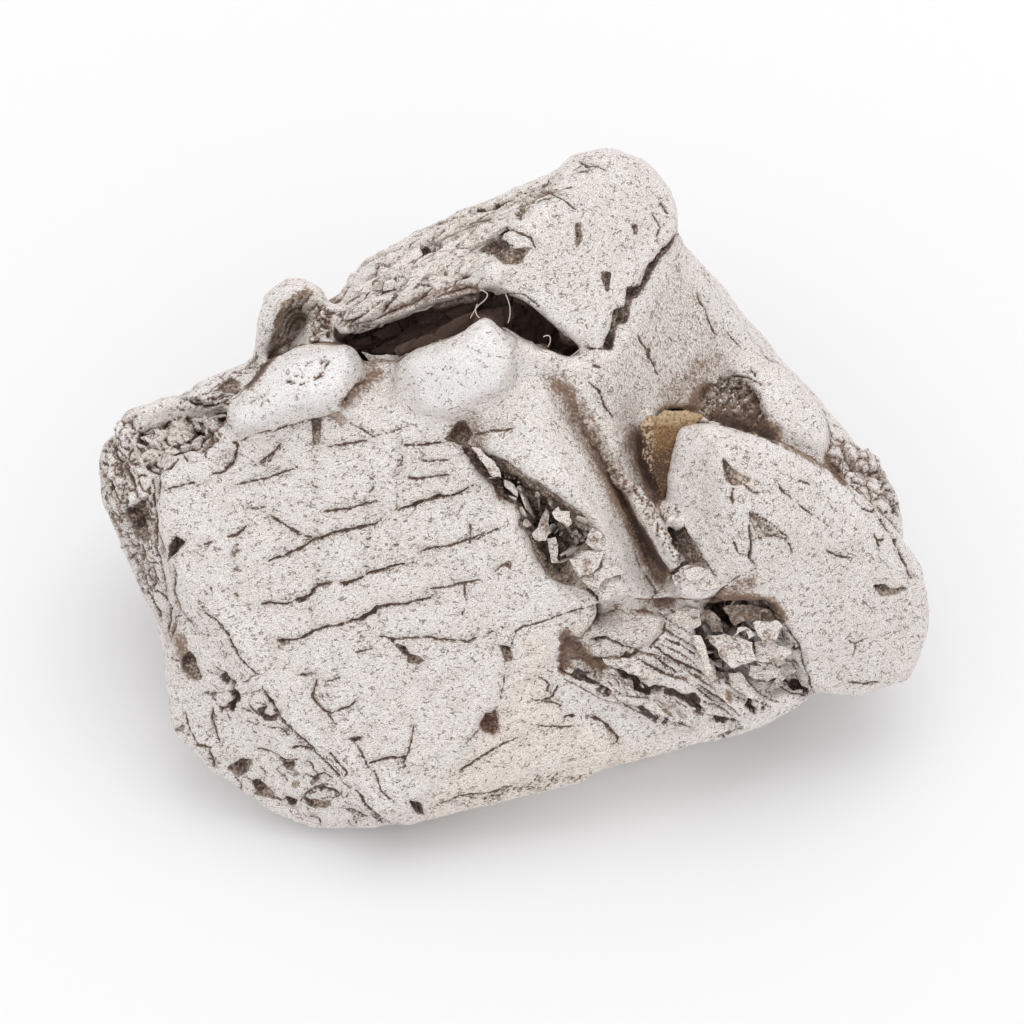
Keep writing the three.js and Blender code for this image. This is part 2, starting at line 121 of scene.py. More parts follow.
WORN_GRAIN = 0.24  # spacing of points while the edges are worn round
FINE_GRAIN = 0.085  # spacing of points for the marks on the surface
TRIANGLES = 198000  # left of the skin once it is thinned
BACK_TRIANGLES = 40000  # of them, on the sides that the marks leave plain
RAGGED = 0.05  # how far the edges of the marks stray
RAGGED_SIDES = 0.08  # the same, on the other sides
ANY_DEPTH = 9  # deeper than any cleft
DEEPEST = 4.5  # how far down a cleft the marks reach
SIDE_ON = 0.45  # how squarely a point has to face a side to be marked from it


def smooth(share):
    """0 below 0, 1 above 1, and an easy rise between."""
    share = np.clip(share, 0, 1)
    return share * share * (3 - 2 * share)


def beside(off, left, right):
    """1 on a route, and an easy fall to 0 at `left` and `right` of it."""
    return smooth(1 - np.abs(off) / np.where(off > 0, left, right))


def rumple(points, size, seed):
    """Smooth ups and downs about `size` across, between -1 and 1."""
    heights = np.random.default_rng(seed).uniform(-1, 1, (64, 64, 64))
    corner = np.floor(points / size).astype(int)
    share = smooth(points / size - corner)
    total = np.zeros(len(points))
    for step in np.ndindex(2, 2, 2):
        weight = np.prod(np.where(step, share, 1 - share), axis=1)
        total += weight * heights[tuple(((corner + step) % 64).T)]
    return total


def roughness(points, size, seed, layers=3):
    """Ups and downs with finer ones on them."""
    return sum(rumple(points, size / 2**n, seed + n) / 2**n for n in range(layers))


def turned(points, degrees):
    """The points on axes turned from U by that angle about W."""
    angle = math.radians(degrees)
    along = points[:, 0] * math.cos(angle) + points[:, 1] * math.sin(angle)
    across = points[:, 1] * math.cos(angle) - points[:, 0] * math.sin(angle)
    return np.stack([along, across, points[:, 2]], axis=1)


def blocks(points, size, seed):
    """Broken blocks about `size` across: each one's own height, -1 to 1, and 1 in the gaps."""
    rng = np.random.default_rng(seed)
    middles = rng.uniform(0, 1, (32, 32, 32, 3))
    heights = rng.uniform(-1, 1, (32, 32, 32))
    warp = np.stack([roughness(points, size * 0.9, seed + n, 2) for n in (1, 4, 7)], axis=1)
    spot = points / size + 0.35 * warp
    home = np.floor(spot).astype(int)
    nearest = np.full(len(points), 9.0)
    second = np.full(len(points), 9.0)
    height = np.zeros(len(points))
    for step in np.ndindex(3, 3, 3):
        cell = home + step - 1
        key = tuple((cell % 32).T)
        off = np.linalg.norm(cell + middles[key] - spot, axis=1)
        closer = off < nearest
        second = np.where(closer, nearest, np.minimum(second, off))
        height[closer] = heights[key][closer]
        nearest = np.minimum(nearest, off)
    return height, 1 - smooth((second - nearest) / 0.2)


def sheets(points, degrees, spacing, seed):
    """Torn ends of sheets that run at that angle: each one's height, -1 to 1, and 1 in the gaps."""
    run, across, out = turned(points, degrees).T
    slow = np.stack([run / 5, across / 1.5, out / 2], axis=1)
    level = (across + 0.4 * out) / spacing + 1.1 * roughness(slow, spacing * 1.5, seed, 2)
    sheet = np.floor(level)
    share = level - sheet
    own = rumple(np.stack([run / 4, sheet * spacing * 1.3, out / 3], axis=1), spacing, seed + 5)
    opened = smooth(0.75 + 1.3 * rumple(slow, spacing, seed + 6))
    gap = opened * (1 - smooth(np.minimum(share, 1 - share) / 0.16))
    return 0.8 * own + 0.6 * (share - 0.5), gap


def remeshed(obj, grain):
    """obj as one even closed skin of points `grain` apart, whatever overlapped in it."""
    even = obj.modifiers.new("even", "REMESH")
    even.mode = "VOXEL"
    even.voxel_size = grain
    return applied(obj)


def applied(obj):
    """obj, with its modifiers worked into its mesh."""
    depsgraph = bpy.context.evaluated_depsgraph_get()
    mesh = bpy.data.meshes.new_from_object(obj.evaluated_get(depsgraph))
    obj.modifiers.clear()
    obj.data = mesh
    return obj


def loose_object(name, bm):
    mesh = bpy.data.meshes.new(name)
    bm.to_mesh(mesh)
    bm.free()
    obj = bpy.data.objects.new(name, mesh)
    bpy.context.collection.objects.link(obj)
    return obj


def rough_lump():
    """The CAD solid of the lump, in millimetres on the broad face's axes."""
    bm = bmesh.new()
    bm.from_mesh(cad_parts["meteorite"].data)
    bmesh.ops.remove_doubles(bm, verts=bm.verts, dist=1e-6)
    bm.transform(FACE.inverted())
    return loose_object("iron_lump", bm)


NO_GROUND = -99.0  # the height of a cell of the map that holds no point
EDGE_ON = -0.05  # how squarely a point has to face the viewer to be seen
CLEFT_REACH = 1.0  # half as wide as the widest cleft whose depth is judged


class Skin:
    """The points of a closed mesh as arrays, on the broad face's own axes."""

    # What the material reads at each point: soft dirt with painted shade, rust, smooth bare metal, dull
    # metal (also laid under the painted shade) and sandy metal; the way its specks run, up a slope, down to
    # the right or in long bands; and the dirt that pits and the lines of cracks hold, with painted shade on
    # the pits' upper left sides.
    TINTS = ("grime_and_shade", "rust", "bare", "drab", "sand", "steep", "falling", "banded", "fill", "line")

    def __init__(self, obj, grain):
        self.mesh = obj.data
        self.cell = 1.4 * grain
        count = len(self.mesh.vertices)
        self.place = np.empty((count, 3))
        self.mesh.vertices.foreach_get("co", self.place.ravel())
        edges = np.empty((len(self.mesh.edges), 2), dtype=np.int32)
        self.mesh.edges.foreach_get("vertices", edges.ravel())
        self.ends = edges.ravel()
        self.others = edges[:, ::-1].ravel()
        self.links = np.bincount(self.ends, minlength=count)
        self.height = np.zeros(count)
        self.clean = np.zeros(count)
        self.front = np.zeros(count, bool)
        self.tints = {name: np.zeros(count) for name in self.TINTS}
        self.tints["split"] = np.ones(count)  # how far to the left of the nearest crack's bottom
        self.tints["brink"] = np.ones(count)  # how far outside the nearest pit's edge
        self.refresh()

    def refresh(self):
        """Writes the points back, and reads which way the surface faces at each."""
        self.mesh.vertices.foreach_set("co", self.place.ravel())
        self.mesh.update()
        self.out = np.empty((len(self.place), 3))
        self.mesh.vertex_normals.foreach_get("vector", self.out.ravel())

    def around(self, values):
        """The mean of each point's neighbours."""
        columns = values.reshape(len(self.place), -1).T
        sums = [np.bincount(self.ends, column[self.others], len(self.place)) for column in columns]
        return (np.array(sums).T / self.links[:, None]).reshape(values.shape)

    def wear(self, times):
        """Rounds the surface off, more the more times."""
        for _ in range(times):
            self.place += (self.around(self.place) - self.place) * 0.5
        self.refresh()

    def settle(self):
        """Moves each point out by the height gathered for it."""
        self.place += self.out * self.height[:, None]
        self.height[:] = 0
        self.refresh()

    def look(self, ragged, deepest, across=(1, 0, 0), up=(0, 1, 0)):
        """Turns to a side: notes which points are seen, and where they lie on its map of marks,
        whose lines stray by `ragged`. What lies deeper than `deepest` in a cleft isn't seen."""
        self.axes = np.array([across, up, np.cross(across, up)], float)
        stray = np.stack([roughness(self.place, 0.6, seed, 3) for seed in (11, 12)], axis=1)
        self.flat = self.view()[:, :2] + ragged * stray
        faces = self.out @ self.axes[2]
        sunk = self.bridged(CLEFT_REACH) - self.view()[:, 2]
        self.seen = (faces > EDGE_ON) & (sunk < deepest) & ~self.front

    def view(self):
        """The points on the axes of the side that is looked at: across, up, and towards the eye."""
        return self.place @ self.axes.T

    def mapped(self, reach):
        """The view in cells: each point's cell, the cells' ground, and the steps within `reach`."""
        margin = int(reach / self.cell) + 2
        view = self.view()
        spots = ((view[:, :2] - view[:, :2].min(0)) / self.cell).astype(int) + margin
        ground = np.full(spots.max(0) + 1 + margin, NO_GROUND)
        np.maximum.at(ground, tuple(spots.T), view[:, 2])
        return tuple(spots.T), ground, range(2 - margin, margin - 1)

    def bridged(self, reach):
        """The ground in this view, at each point, once gaps under twice `reach` wide are filled."""
        spots, ground, steps = self.mapped(reach)
        for widest in (np.maximum, np.minimum):
            for axis in (0, 1):
                ground = widest.reduce([np.roll(ground, step, axis) for step in steps])
        return ground[spots]

    def inland(self, reach):
        """0 at the lump's outline in this view, and 1 at points nearly `reach` in from it."""
        spots, ground, steps = self.mapped(reach)
        share = (ground > NO_GROUND) * 1.0
        for axis in (0, 1):
            share = np.mean([np.roll(share, step, axis) for step in steps], axis=0)
        return smooth((share[spots] - 0.55) / 0.35)

    def shallow(self, outline, depth, reach):
        """Raises the bottoms of the clefts inside an outline, to `depth` below their brinks."""
        floor = self.bridged(reach) - depth
        lift = np.maximum(floor - self.place[:, 2], 0)
        self.place[:, 2] += lift * (self.inside(outline, 0.01) > 0)

    def dig(self, outline, depth, soft):
        """Lowers the ground inside an outline, with walls that take `soft` to fall."""
        self.place[:, 2] -= depth * self.inside(outline, soft)

    def valley(self, route, left, right, depth):
        """Digs along a route, deeper the further along; walls `left` and `right` of it wide."""
        chosen, off, along = self.near(route, max(left, right))
        fall = beside(off, left, right)
        self.place[chosen, 2] -= fall * np.interp(along, np.linspace(0, 1, len(depth)), depth)

    def boxed(self, corners, reach):
        """Which seen points lie in the box round some corners, or within `reach` of it."""
        low, high = corners.min(0) - reach, corners.max(0) + reach
        return np.nonzero(((self.flat > low) & (self.flat < high)).all(1) & self.seen)[0]

    def near(self, route, reach):
        """Seen points within `reach` of a route: which, how far to its left, how far along it."""
        route = np.array(route, float)
        chosen = self.boxed(route, reach)
        spot = self.flat[chosen]
        off = np.full(len(chosen), np.inf)
        along = np.zeros(len(chosen))
        legs = np.linalg.norm(np.diff(route, axis=0), axis=1)
        begun = 0
        for start, end, leg in zip(route[:-1], route[1:], legs):
            share = np.clip((spot - start) @ (end - start) / leg**2, 0, 1)
            aside = spot - start - share[:, None] * (end - start)
            gap = np.linalg.norm(aside, axis=1)
            closer = gap < np.abs(off)
            left = (end - start)[0] * aside[:, 1] - (end - start)[1] * aside[:, 0] > 0
            off[closer] = np.where(left, gap, -gap)[closer]
            along[closer] = begun + share[closer] * leg
            begun += leg
        close = np.abs(off) < reach
        return chosen[close], off[close], along[close] / begun

    def within(self, outline, reach=0.0):
        """Seen points inside an outline, or `reach` outside: which, and how far in from its edge."""
        corners = np.array(outline, float)
        chosen = self.boxed(corners, reach)
        spot = self.flat[chosen]
        held = np.zeros(len(chosen), bool)
        edge = np.full(len(chosen), np.inf)
        for start, end in zip(corners, np.roll(corners, -1, axis=0)):
            crosses = (start[1] > spot[:, 1]) != (end[1] > spot[:, 1])
            rise = (spot[:, 1] - start[1]) / (end[1] - start[1] or 1e-9)
            held ^= crosses & (spot[:, 0] < start[0] + rise * (end[0] - start[0]))
            share = np.clip((spot - start) @ (end - start) / ((end - start) @ (end - start)), 0, 1)
            edge = np.minimum(edge, np.linalg.norm(spot - start - share[:, None] * (end - start), axis=1))
        return chosen, np.where(held, edge, -edge)

    def inside(self, outline, soft=0.4):
        """Seen points inside an outline: 1 when deeper in than `soft`, 0 at its edge and outside."""
        weight = np.zeros(len(self.place))
        chosen, depth_in = self.within(outline)
        weight[chosen] = smooth(depth_in / soft)
        return weight

    def tint(self, name, amount, chosen=slice(None)):
        """Brings a tint up to `amount`, and never down."""
        held = self.tints[name]
        held[chosen] = np.maximum(held[chosen], amount)

    def keep_free_of_dirt_and_shade(self, amount, chosen=slice(None)):
        """Holds off the dirt and painted shade that would gather where the ground is low."""
        self.clean[chosen] = np.maximum(self.clean[chosen], amount)

    def cut(self, route, width, depth, grime_and_shade=1.0, rust=0.0, halo=0.7):
        """A ragged crack along a route: it opens and closes, and dirt lies in it and beside it.
        Its bottom is a hair line; where it opens wide, it has a crisp edge."""
        widths = np.atleast_1d(width)
        chosen, off, along = self.near(route, 2.4 * widths.max() + 0.1)
        spot = self.place[chosen]
        wide = np.interp(along, np.linspace(0, 1, len(widths)), widths)
        tip = np.minimum(along, 1 - along)
        own = wide * smooth(tip / 0.25 + 0.2) * (0.75 + 0.7 * rumple(spot, 0.25, 21))
        opened = smooth(1.2 + 1.3 * rumple(spot, 0.7, 22))
        aside = np.abs(off)
        bottom = smooth(1.25 - aside / (0.5 * np.maximum(own, 0.01))) * opened
        self.height[chosen] += bottom * np.minimum(-depth - self.height[chosen], 0)
        self.tint("rust", rust * bottom, chosen)
        self.tint("drab", halo * smooth(1 - aside / (2.0 * wide + 0.1)) * opened, chosen)
        strength = grime_and_shade * smooth(tip / 0.12) * smooth(1.15 - aside / 0.3) * opened
        closer = (aside < np.abs(self.tints["split"][chosen])) & (strength > 0)
        self.tints["split"][chosen[closer]] = off[closer]
        self.tints["line"][chosen[closer]] = strength[closer]
        gaping = (own > 0.2) & (opened > 0.5)
        edge = np.where(gaping, aside - 0.5 * own, 1.0)
        self.tints["brink"][chosen] = np.minimum(self.tints["brink"][chosen], edge)
        self.tint("fill", grime_and_shade * gaping, chosen)

    def scratch(self, weight, count, length, degrees, spread, width, depth, seed, grime_and_shade=0.9):
        """Many short cracks scattered over an area, each within `spread` of the same direction."""
        rng = np.random.default_rng(seed)
        for start in self.flat[rng.choice(np.nonzero(weight > 0.5)[0], count)]:
            angles = np.radians(degrees + spread * (rng.uniform(-1, 1) + rng.uniform(-0.5, 0.5, 4)))
            steps = length / 4 * rng.uniform(0.5, 1.3) * np.stack([np.cos(angles), np.sin(angles)], 1)
            size = rng.uniform(0.4, 1.2)
            route = [start, *(start + steps.cumsum(0))]
            self.cut(route, size * width, size * depth, size * grime_and_shade, halo=0.5 * size)

    def pit(self, outline, depth, grime_and_shade=0.8, rust=0.0, rough=0.05, soft=0.12):
        """A torn pit with a crisp edge, deepest under its upper left side, where its fill is darkest as
        painted shade.
        """
        chosen, deep = self.within(outline, 0.3)
        corners = np.array(outline, float)
        spot = (self.flat[chosen] - corners.mean(0)) / np.ptp(corners, axis=0)
        shadow_side = np.clip(0.7 + 0.6 * (spot[:, 1] - spot[:, 0]), 0.3, 1)
        level, gap = blocks(self.place[chosen], 0.35, 31)
        fall = smooth(deep / soft)
        self.height[chosen] += rough * (level - gap) * fall - depth * fall * shadow_side
        self.tints["brink"][chosen] = np.minimum(self.tints["brink"][chosen], -deep)
        self.tint("fill", grime_and_shade * (0.45 + 0.55 * shadow_side) * (1 - 0.3 * level), chosen)
        self.tint("rust", rust * (deep > -0.1), chosen)
        self.tint("drab", grime_and_shade * smooth(1 + deep / 0.3), chosen)

    def chips(self, weight, count, size, depth, degrees, seed):
        """Many small torn pits with five or six uneven sides, scattered over an area."""
        rng = np.random.default_rng(seed)
        for middle in self.flat[rng.choice(np.nonzero(weight > 0.5)[0], count)]:
            sides = rng.integers(5, 7)
            angles = (np.arange(sides) + rng.uniform(-0.35, 0.35, sides)) * 2 * math.pi / sides
            reach = size * rng.uniform(0.5, 1.2) / 2 * rng.uniform(0.7, 1.2, sides)
            corners = np.stack([reach * np.cos(angles), 0.55 * reach * np.sin(angles), 0 * angles], 1)
            self.pit(middle + turned(corners, -degrees - rng.uniform(-30, 30))[:, :2],
                     depth * rng.uniform(0.5, 1.2), 0.6 * rng.uniform(0.5, 1.2))

    def shade(self, route, left, right, grime_and_shade, rust=0.0):
        """Painted shade and soft dirt along the foot of a wall or under a ledge, thinning out to `left` and
        `right` of the route.
        """
        chosen, off, along = self.near(route, max(left, right))
        amount = beside(off, left, right) * smooth(np.minimum(along, 1 - along) / 0.15 + 0.3)
        self.tint("grime_and_shade", grime_and_shade * amount, chosen)
        self.tint("drab", smooth(1.5 * amount), chosen)
        self.tint("rust", rust * amount, chosen)

    def welt(self, route, width, height):
        """A rounded ridge along a route."""
        chosen, off, along = self.near(route, width)
        swell = smooth(1 - np.abs(off) / width) * smooth(np.minimum(along, 1 - along) / 0.15 + 0.2)
        self.height[chosen] += height * swell

    def dent(self, centre, size, depth, degrees=0, grime_and_shade=0.0, rough=0.0):
        """A soft ragged hollow `size` long and wide, its length turned from U."""
        chosen = np.nonzero((np.abs(self.flat - centre) < max(size)).all(1) & self.seen)[0]
        spot = self.place[chosen]
        aside = turned(np.pad(self.flat[chosen] - centre, ((0, 0), (0, 1))), degrees)[:, :2]
        off = np.linalg.norm(aside / (np.array(size) / 2), axis=1) + 0.35 * roughness(spot, 0.7, 33, 2)
        bowl = smooth((1.2 - off) / 0.8)
        level, gap = blocks(spot, 0.3, 31)
        self.height[chosen] += rough * (level - gap) * bowl - depth * bowl
        self.tint("grime_and_shade", grime_and_shade * bowl * (0.6 + 0.5 * gap - 0.3 * level), chosen)
        self.tint("drab", smooth((1.6 - off) / 0.8) * smooth(3 * grime_and_shade), chosen)

    def crumble(self, weight, size, height, grime_and_shade=0.7, degrees=0, stretch=(1, 1, 1), seed=41):
        """Broken blocks of ground, with dirt between them."""
        chosen = np.nonzero(weight > 0)[0]
        points = turned(self.view()[chosen], degrees) / np.array(stretch)
        level, gap = blocks(points, size, seed)
        self.height[chosen] += weight[chosen] * height * (level - 1.2 * gap)
        self.tint("grime_and_shade", weight[chosen] * grime_and_shade * np.maximum(gap, 0.4 - 0.6 * level), chosen)
        self.keep_free_of_dirt_and_shade(weight[chosen] * smooth(0.6 + level) * (1 - gap), chosen)

    def layer(self, weight, degrees, spacing, height, grime_and_shade=0.7, seed=51):
        """Torn edges of crystal sheets that run at that angle, with dirt between them."""
        chosen = np.nonzero(weight > 0)[0]
        level, gap = sheets(self.view()[chosen], degrees, spacing, seed)
        self.height[chosen] += weight[chosen] * height * (level - 0.9 * gap)
        self.tint("grime_and_shade", weight[chosen] * grime_and_shade * np.maximum(gap, -0.7 * level - 0.1), chosen)
        self.keep_free_of_dirt_and_shade(weight[chosen] * smooth(0.6 + level) * (1 - gap), chosen)


# The clefts that the marks below lie in: each outline, its depth, and how wide a gap it bridges.
FISSURE = [
    (-7.9, 6.3), (-6.8, 7.3), (-5.6, 7.3), (-4.2, 8.2), (-1.2, 8.7), (0.4, 8.3), (1.7, 7.2), (3.3, 6.2),
    (3.3, 5.2), (1.0, 5.9), (-0.8, 7.0), (-1.6, 7.2), (-3.2, 6.1), (-4.8, 5.5), (-7.4, 5.9),
]
UNDER_FISSURE = [
    (-1.0, 6.9), (-0.4, 7.0), (0.5, 6.55), (1.2, 6.25), (2.0, 5.75), (3.0, 5.35), (3.4, 5.0), (0.6, 5.0),
    (-0.6, 5.8),
]
STEPPED_CRACK = [
    (3.7, 5.95), (3.9, 6.5), (4.1, 6.85), (4.2, 7.7), (4.65, 7.8), (4.75, 8.65), (5.3, 8.75), (5.75, 9.6),
    (6.7, 10.7), (7.0, 11.0), (6.8, 10.5), (6.0, 9.5), (5.65, 8.8), (5.2, 8.2), (4.95, 8.1), (4.8, 7.15),
    (4.45, 7.05), (4.3, 6.6), (4.2, 5.95),
]
CAVITY = [
    (-2.2, 2.0), (-1.8, 1.9), (-1.1, 1.55), (-0.4, 1.35), (0.1, 1.0), (0.8, 0.55), (1.5, 0.1), (2.0, -0.2),
    (2.7, -0.75), (3.2, -1.3), (3.9, -2.0), (3.6, -2.2), (3.3, -2.6), (2.6, -2.7), (2.4, -3.2), (2.6, -3.7),
    (3.5, -4.6), (2.9, -4.3), (2.3, -4.05), (1.6, -3.8), (1.2, -3.45), (0.8, -2.9), (0.6, -2.4),
    (0.45, -1.95), (0.05, -1.5), (0.15, -1.05), (0.05, -0.7), (-0.45, -0.6), (-0.85, -0.35), (-1.1, 0.2),
    (-1.5, 0.6), (-1.9, 1.1), (-2.15, 1.6),
]
CAVITY_AND_PLATES = [
    (-2.4, 2.0), (-0.6, 2.0), (1.8, 0.4), (3.6, -1.0), (5.0, -3.2), (5.0, -5.0), (3.6, -5.2), (1.0, -3.8),
    (0.2, -2.2), (-1.2, -0.6), (-2.2, 1.0),
]
TROUGH = [
    (0.8, 5.6), (2.6, 4.6), (4.6, 3.2), (6.0, 3.2), (6.2, 1.0), (6.6, -0.6), (8.4, -2.6), (8.6, -3.6),
    (7.4, -4.4), (6.2, -4.6), (5.0, -2.8), (3.6, 0.2), (2.2, 2.8),
]
SMALL_HOLE = [(6.4, -1.5), (7.2, -1.5), (8.3, -3.4), (7.3, -3.3), (6.9, -2.9)]
UNDER_NOSE = [
    (7.6, -5.8), (8.3, -4.8), (9.4, -4.65), (10.8, -4.75), (11.6, -5.6), (12.4, -7.2), (12.6, -8.6),
    (11.0, -9.2), (9.4, -8.6), (8.6, -8.0),
]
HOLLOW = [
    (7.7, 3.2), (8.0, 4.4), (8.8, 5.0), (9.8, 5.0), (10.6, 4.2), (10.9, 3.2), (11.3, 2.0), (9.5, 2.5),
]
SHELL_HOLLOW = [(-10.3, 7.0), (-9.7, 8.1), (-8.9, 8.6), (-8.1, 7.8), (-8.0, 6.7), (-9.4, 6.2)]
BLOCK_CLEFT = [(3.5, 5.7), (3.4, 7.2), (6.0, 11.0), (7.6, 11.4), (7.2, 10.3), (4.8, 6.6)]
UPPER_PIT = [(-3.2, 1.8), (-3.0, 3.5), (-1.8, 3.6), (-0.8, 2.6), (-0.4, 1.2), (-2.0, 1.0)]
UPPER_PIT_FLOOR = [(-2.6, 2.0), (-2.4, 2.7), (-1.9, 2.9), (-1.7, 2.1), (-2.0, 1.6)]
HOLE_GROUND = [(6.6, -1.4), (8.2, -1.6), (8.4, -3.8), (6.6, -3.8)]
LEFT_STEP = [(-16.0, -2.4), (-14.0, -3.0), (-4.2, -14.2), (-7.2, -14.6), (-12.6, -9.0)]
UNDER_STRATA = [(3.4, -4.6), (12.8, -4.0), (13.4, -9.2), (10.0, -8.0), (5.0, -5.6)]
SPINE_FOOT = [(1.0, 5.2), (2.3, 3.6), (3.5, 1.7), (4.3, 0.2), (5.2, -1.6), (6.4, -3.8)]
NOSE_FOOT = [(5.2, 3.2), (5.5, 1.8), (5.9, 0.4), (6.2, -0.8)]

# The rough form: the body's clefts are filled up to a set depth below their brinks, and their real
# floors are dug into the filling, before its edges are worn and the fine skin is laid over it.
body = remeshed(rough_lump(), WORN_GRAIN)
form = Skin(body, WORN_GRAIN)
form.look(0, ANY_DEPTH)
for outline, depth, reach in [
    (UNDER_FISSURE, 0.0, 1.5),
    (FISSURE, 2.4, 1.2),
    (BLOCK_CLEFT, 0.0, 1.0),
    (CAVITY_AND_PLATES, 0.1, 1.8),
    (UPPER_PIT, 0.1, 1.6),
    (TROUGH, 0.25, 1.3),
    (HOLE_GROUND, 0.1, 1.2),
    (LEFT_STEP, 0.0, 1.3),
    (UNDER_STRATA, 1.0, 0.9),
]:
    form.shallow(outline, depth, reach)
for outline, depth, soft in [
    (CAVITY, 1.7, 0.6),
    (SMALL_HOLE, 0.8, 0.3),
    (UNDER_NOSE, 0.7, 0.5),
    (HOLLOW, 0.6, 1.2),
    (SHELL_HOLLOW, 0.35, 0.5),
]:
    form.dig(outline, depth, soft)
form.valley(SPINE_FOOT, 0.35, 1.9, (0.2, 0.5, 0.7, 1.1, 1.5, 1.6))
form.valley(NOSE_FOOT, 0.5, 1.2, (0.6, 1.3, 1.4, 0.5))
form.dig(UPPER_PIT_FLOOR, 0.6, 0.3)
form.wear(3)
lump = remeshed(body, FINE_GRAIN)
skin = Skin(lump, FINE_GRAIN)
skin.wear(6)
skin.look(RAGGED, DEEPEST)

# Slow waves all over, and the pitting that rust leaves on every side.
skin.height += 0.12 * roughness(skin.place, 4.5, 1) + 0.06 * roughness(skin.place, 1.3, 5)
skin.height += 0.022 * roughness(skin.place, 0.3, 8, layers=2)
skin.settle()

# The broad face: parallel grooves that climb to the right, where crystal plates part.
BROAD_FACE = [
    (-15.0, 0.2), (-12.0, 2.0), (-7.6, 3.0), (-3.2, 2.6), (-2.2, 1.0), (-0.6, -0.8), (0.4, -2.6),
    (3.2, -4.8), (0.0, -5.8), (-0.8, -9.0), (-4.4, -13.4), (-6.6, -12.6), (-10.0, -9.2),
    (-14.2, -3.6),
]
face = skin.inside(BROAD_FACE, 0.5)
skin.scratch(face, 75, 0.8, 14, 16, 0.08, 0.02, seed=61, grime_and_shade=0.4)
skin.scratch(face, 90, 0.35, 20, 80, 0.08, 0.02, seed=62, grime_and_shade=0.4)
skin.scratch(face, 30, 0.3, -80, 25, 0.08, 0.02, seed=63, grime_and_shade=0.4)
FACE_GROOVES = [
    (0.16, 0.10, [(-12.1, 0.2), (-10.6, 0.5), (-9.3, 0.95)]),
    (0.12, 0.08, [(-11.2, 1.05), (-10.3, 1.3)]),
    (0.18, 0.10, [(-10.9, 1.2), (-10.4, 1.5), (-10.0, 2.0)]),
    (0.12, 0.08, [(-11.5, -0.8), (-10.2, -0.7), (-8.7, -0.45)]),
    (0.18, 0.10, [(-10.6, -1.0), (-9.8, -1.5), (-9.2, -1.9), (-8.5, -2.1)]),
    (0.18, 0.12, [(-13.4, -2.4), (-12.0, -1.9), (-11.2, -1.4)]),
    (0.20, 0.16, [(-10.8, -3.1), (-9.9, -2.9), (-8.6, -2.15), (-7.5, -1.8), (-6.2, -1.5), (-5.5, -1.2)]),
    (0.20, 0.12, [(-8.3, -0.9), (-7.0, -0.8), (-6.2, -0.55), (-5.8, -0.4)]),
    (0.24, 0.20, [(-5.0, -0.9), (-3.8, -0.45), (-2.6, -0.2), (-1.8, 0.2)]),
    (0.16, 0.10, [(-4.1, -2.6), (-2.6, -2.3), (-1.2, -1.8)]),
    (0.20, 0.18, [(-11.3, -4.9), (-9.8, -4.9), (-8.8, -4.5), (-8.4, -4.05), (-7.2, -4.0), (-6.3, -3.6),
                  (-5.0, -3.2), (-4.3, -3.1)]),
    (0.20, 0.18, [(-10.4, -6.5), (-9.2, -6.4), (-8.5, -5.95), (-7.6, -5.8), (-7.0, -5.6), (-6.1, -5.3),
                  (-5.9, -5.05), (-4.4, -4.8), (-3.3, -4.6)]),
    (0.18, 0.12, [(-3.7, -4.3), (-2.0, -4.0), (-1.4, -3.8)]),
    (0.18, 0.12, [(-6.1, -6.2), (-5.2, -6.4), (-4.0, -6.3), (-2.0, -6.5), (-0.5, -5.9)]),
    (0.12, 0.08, [(-7.0, -7.0), (-6.0, -6.8)]),
    (0.12, 0.08, [(-8.2, -8.3), (-7.5, -8.0)]),
    (0.18, 0.14, [(-4.9, 1.9), (-3.9, 1.9), (-2.8, 2.05)]),
    (0.14, 0.10, [(-4.2, 1.25), (-2.6, 1.3)]),
    (0.18, 0.12, [(-4.7, 0.5), (-3.7, 0.5), (-2.7, 0.65)]),
    (0.14, 0.10, [(-8.0, 1.8), (-6.2, 2.1)]),
    (0.14, 0.12, [(-8.5, -8.0), (-8.7, -8.9), (-8.2, -9.5), (-7.9, -9.6), (-7.1, -9.3), (-6.7, -8.9)]),
    (0.14, 0.12, [(-8.1, -9.6), (-7.7, -10.1)]),
    (0.14, 0.10, [(-6.9, -10.9), (-6.5, -11.6), (-6.3, -12.0)]),
    (0.20, 0.16, [(-6.3, -11.8), (-5.6, -11.6), (-4.8, -11.5), (-4.8, -12.1)]),
    (0.12, 0.08, [(-4.3, -10.0), (-4.4, -10.8), (-4.7, -11.5)]),
    (0.12, 0.08, [(-6.1, -12.1), (-5.8, -12.9), (-5.2, -13.5)]),
    (0.12, 0.10, [(-2.2, -3.9), (-2.1, -4.8), (-2.3, -5.4)]),
    (0.12, 0.10, [(-1.9, -1.4), (-1.9, -2.3)]),
    (0.12, 0.08, [(-1.7, -2.1), (-0.6, -1.6)]),
]
for width, depth, route in FACE_GROOVES:
    skin.cut(route, width, depth, halo=0.9)
for (middle, level), half in [
    ((-9.6, -5.0), 0.9), ((-10.0, -6.6), 0.7), ((-13.0, -4.3), 1.1),
    ((-8.6, -4.3), 0.7), ((-6.2, -6.3), 0.6), ((-8.5, -9.0), 0.6),
]:
    left, right, low, high = middle - half, middle + half, level - 0.3, level + 0.3
    patch = [(left, low), (left, high), (right, high), (right, low)]
    skin.scratch(skin.inside(patch, 0.1), 12, 0.3, 20, 90, 0.10, 0.04, seed=60, grime_and_shade=0.5)

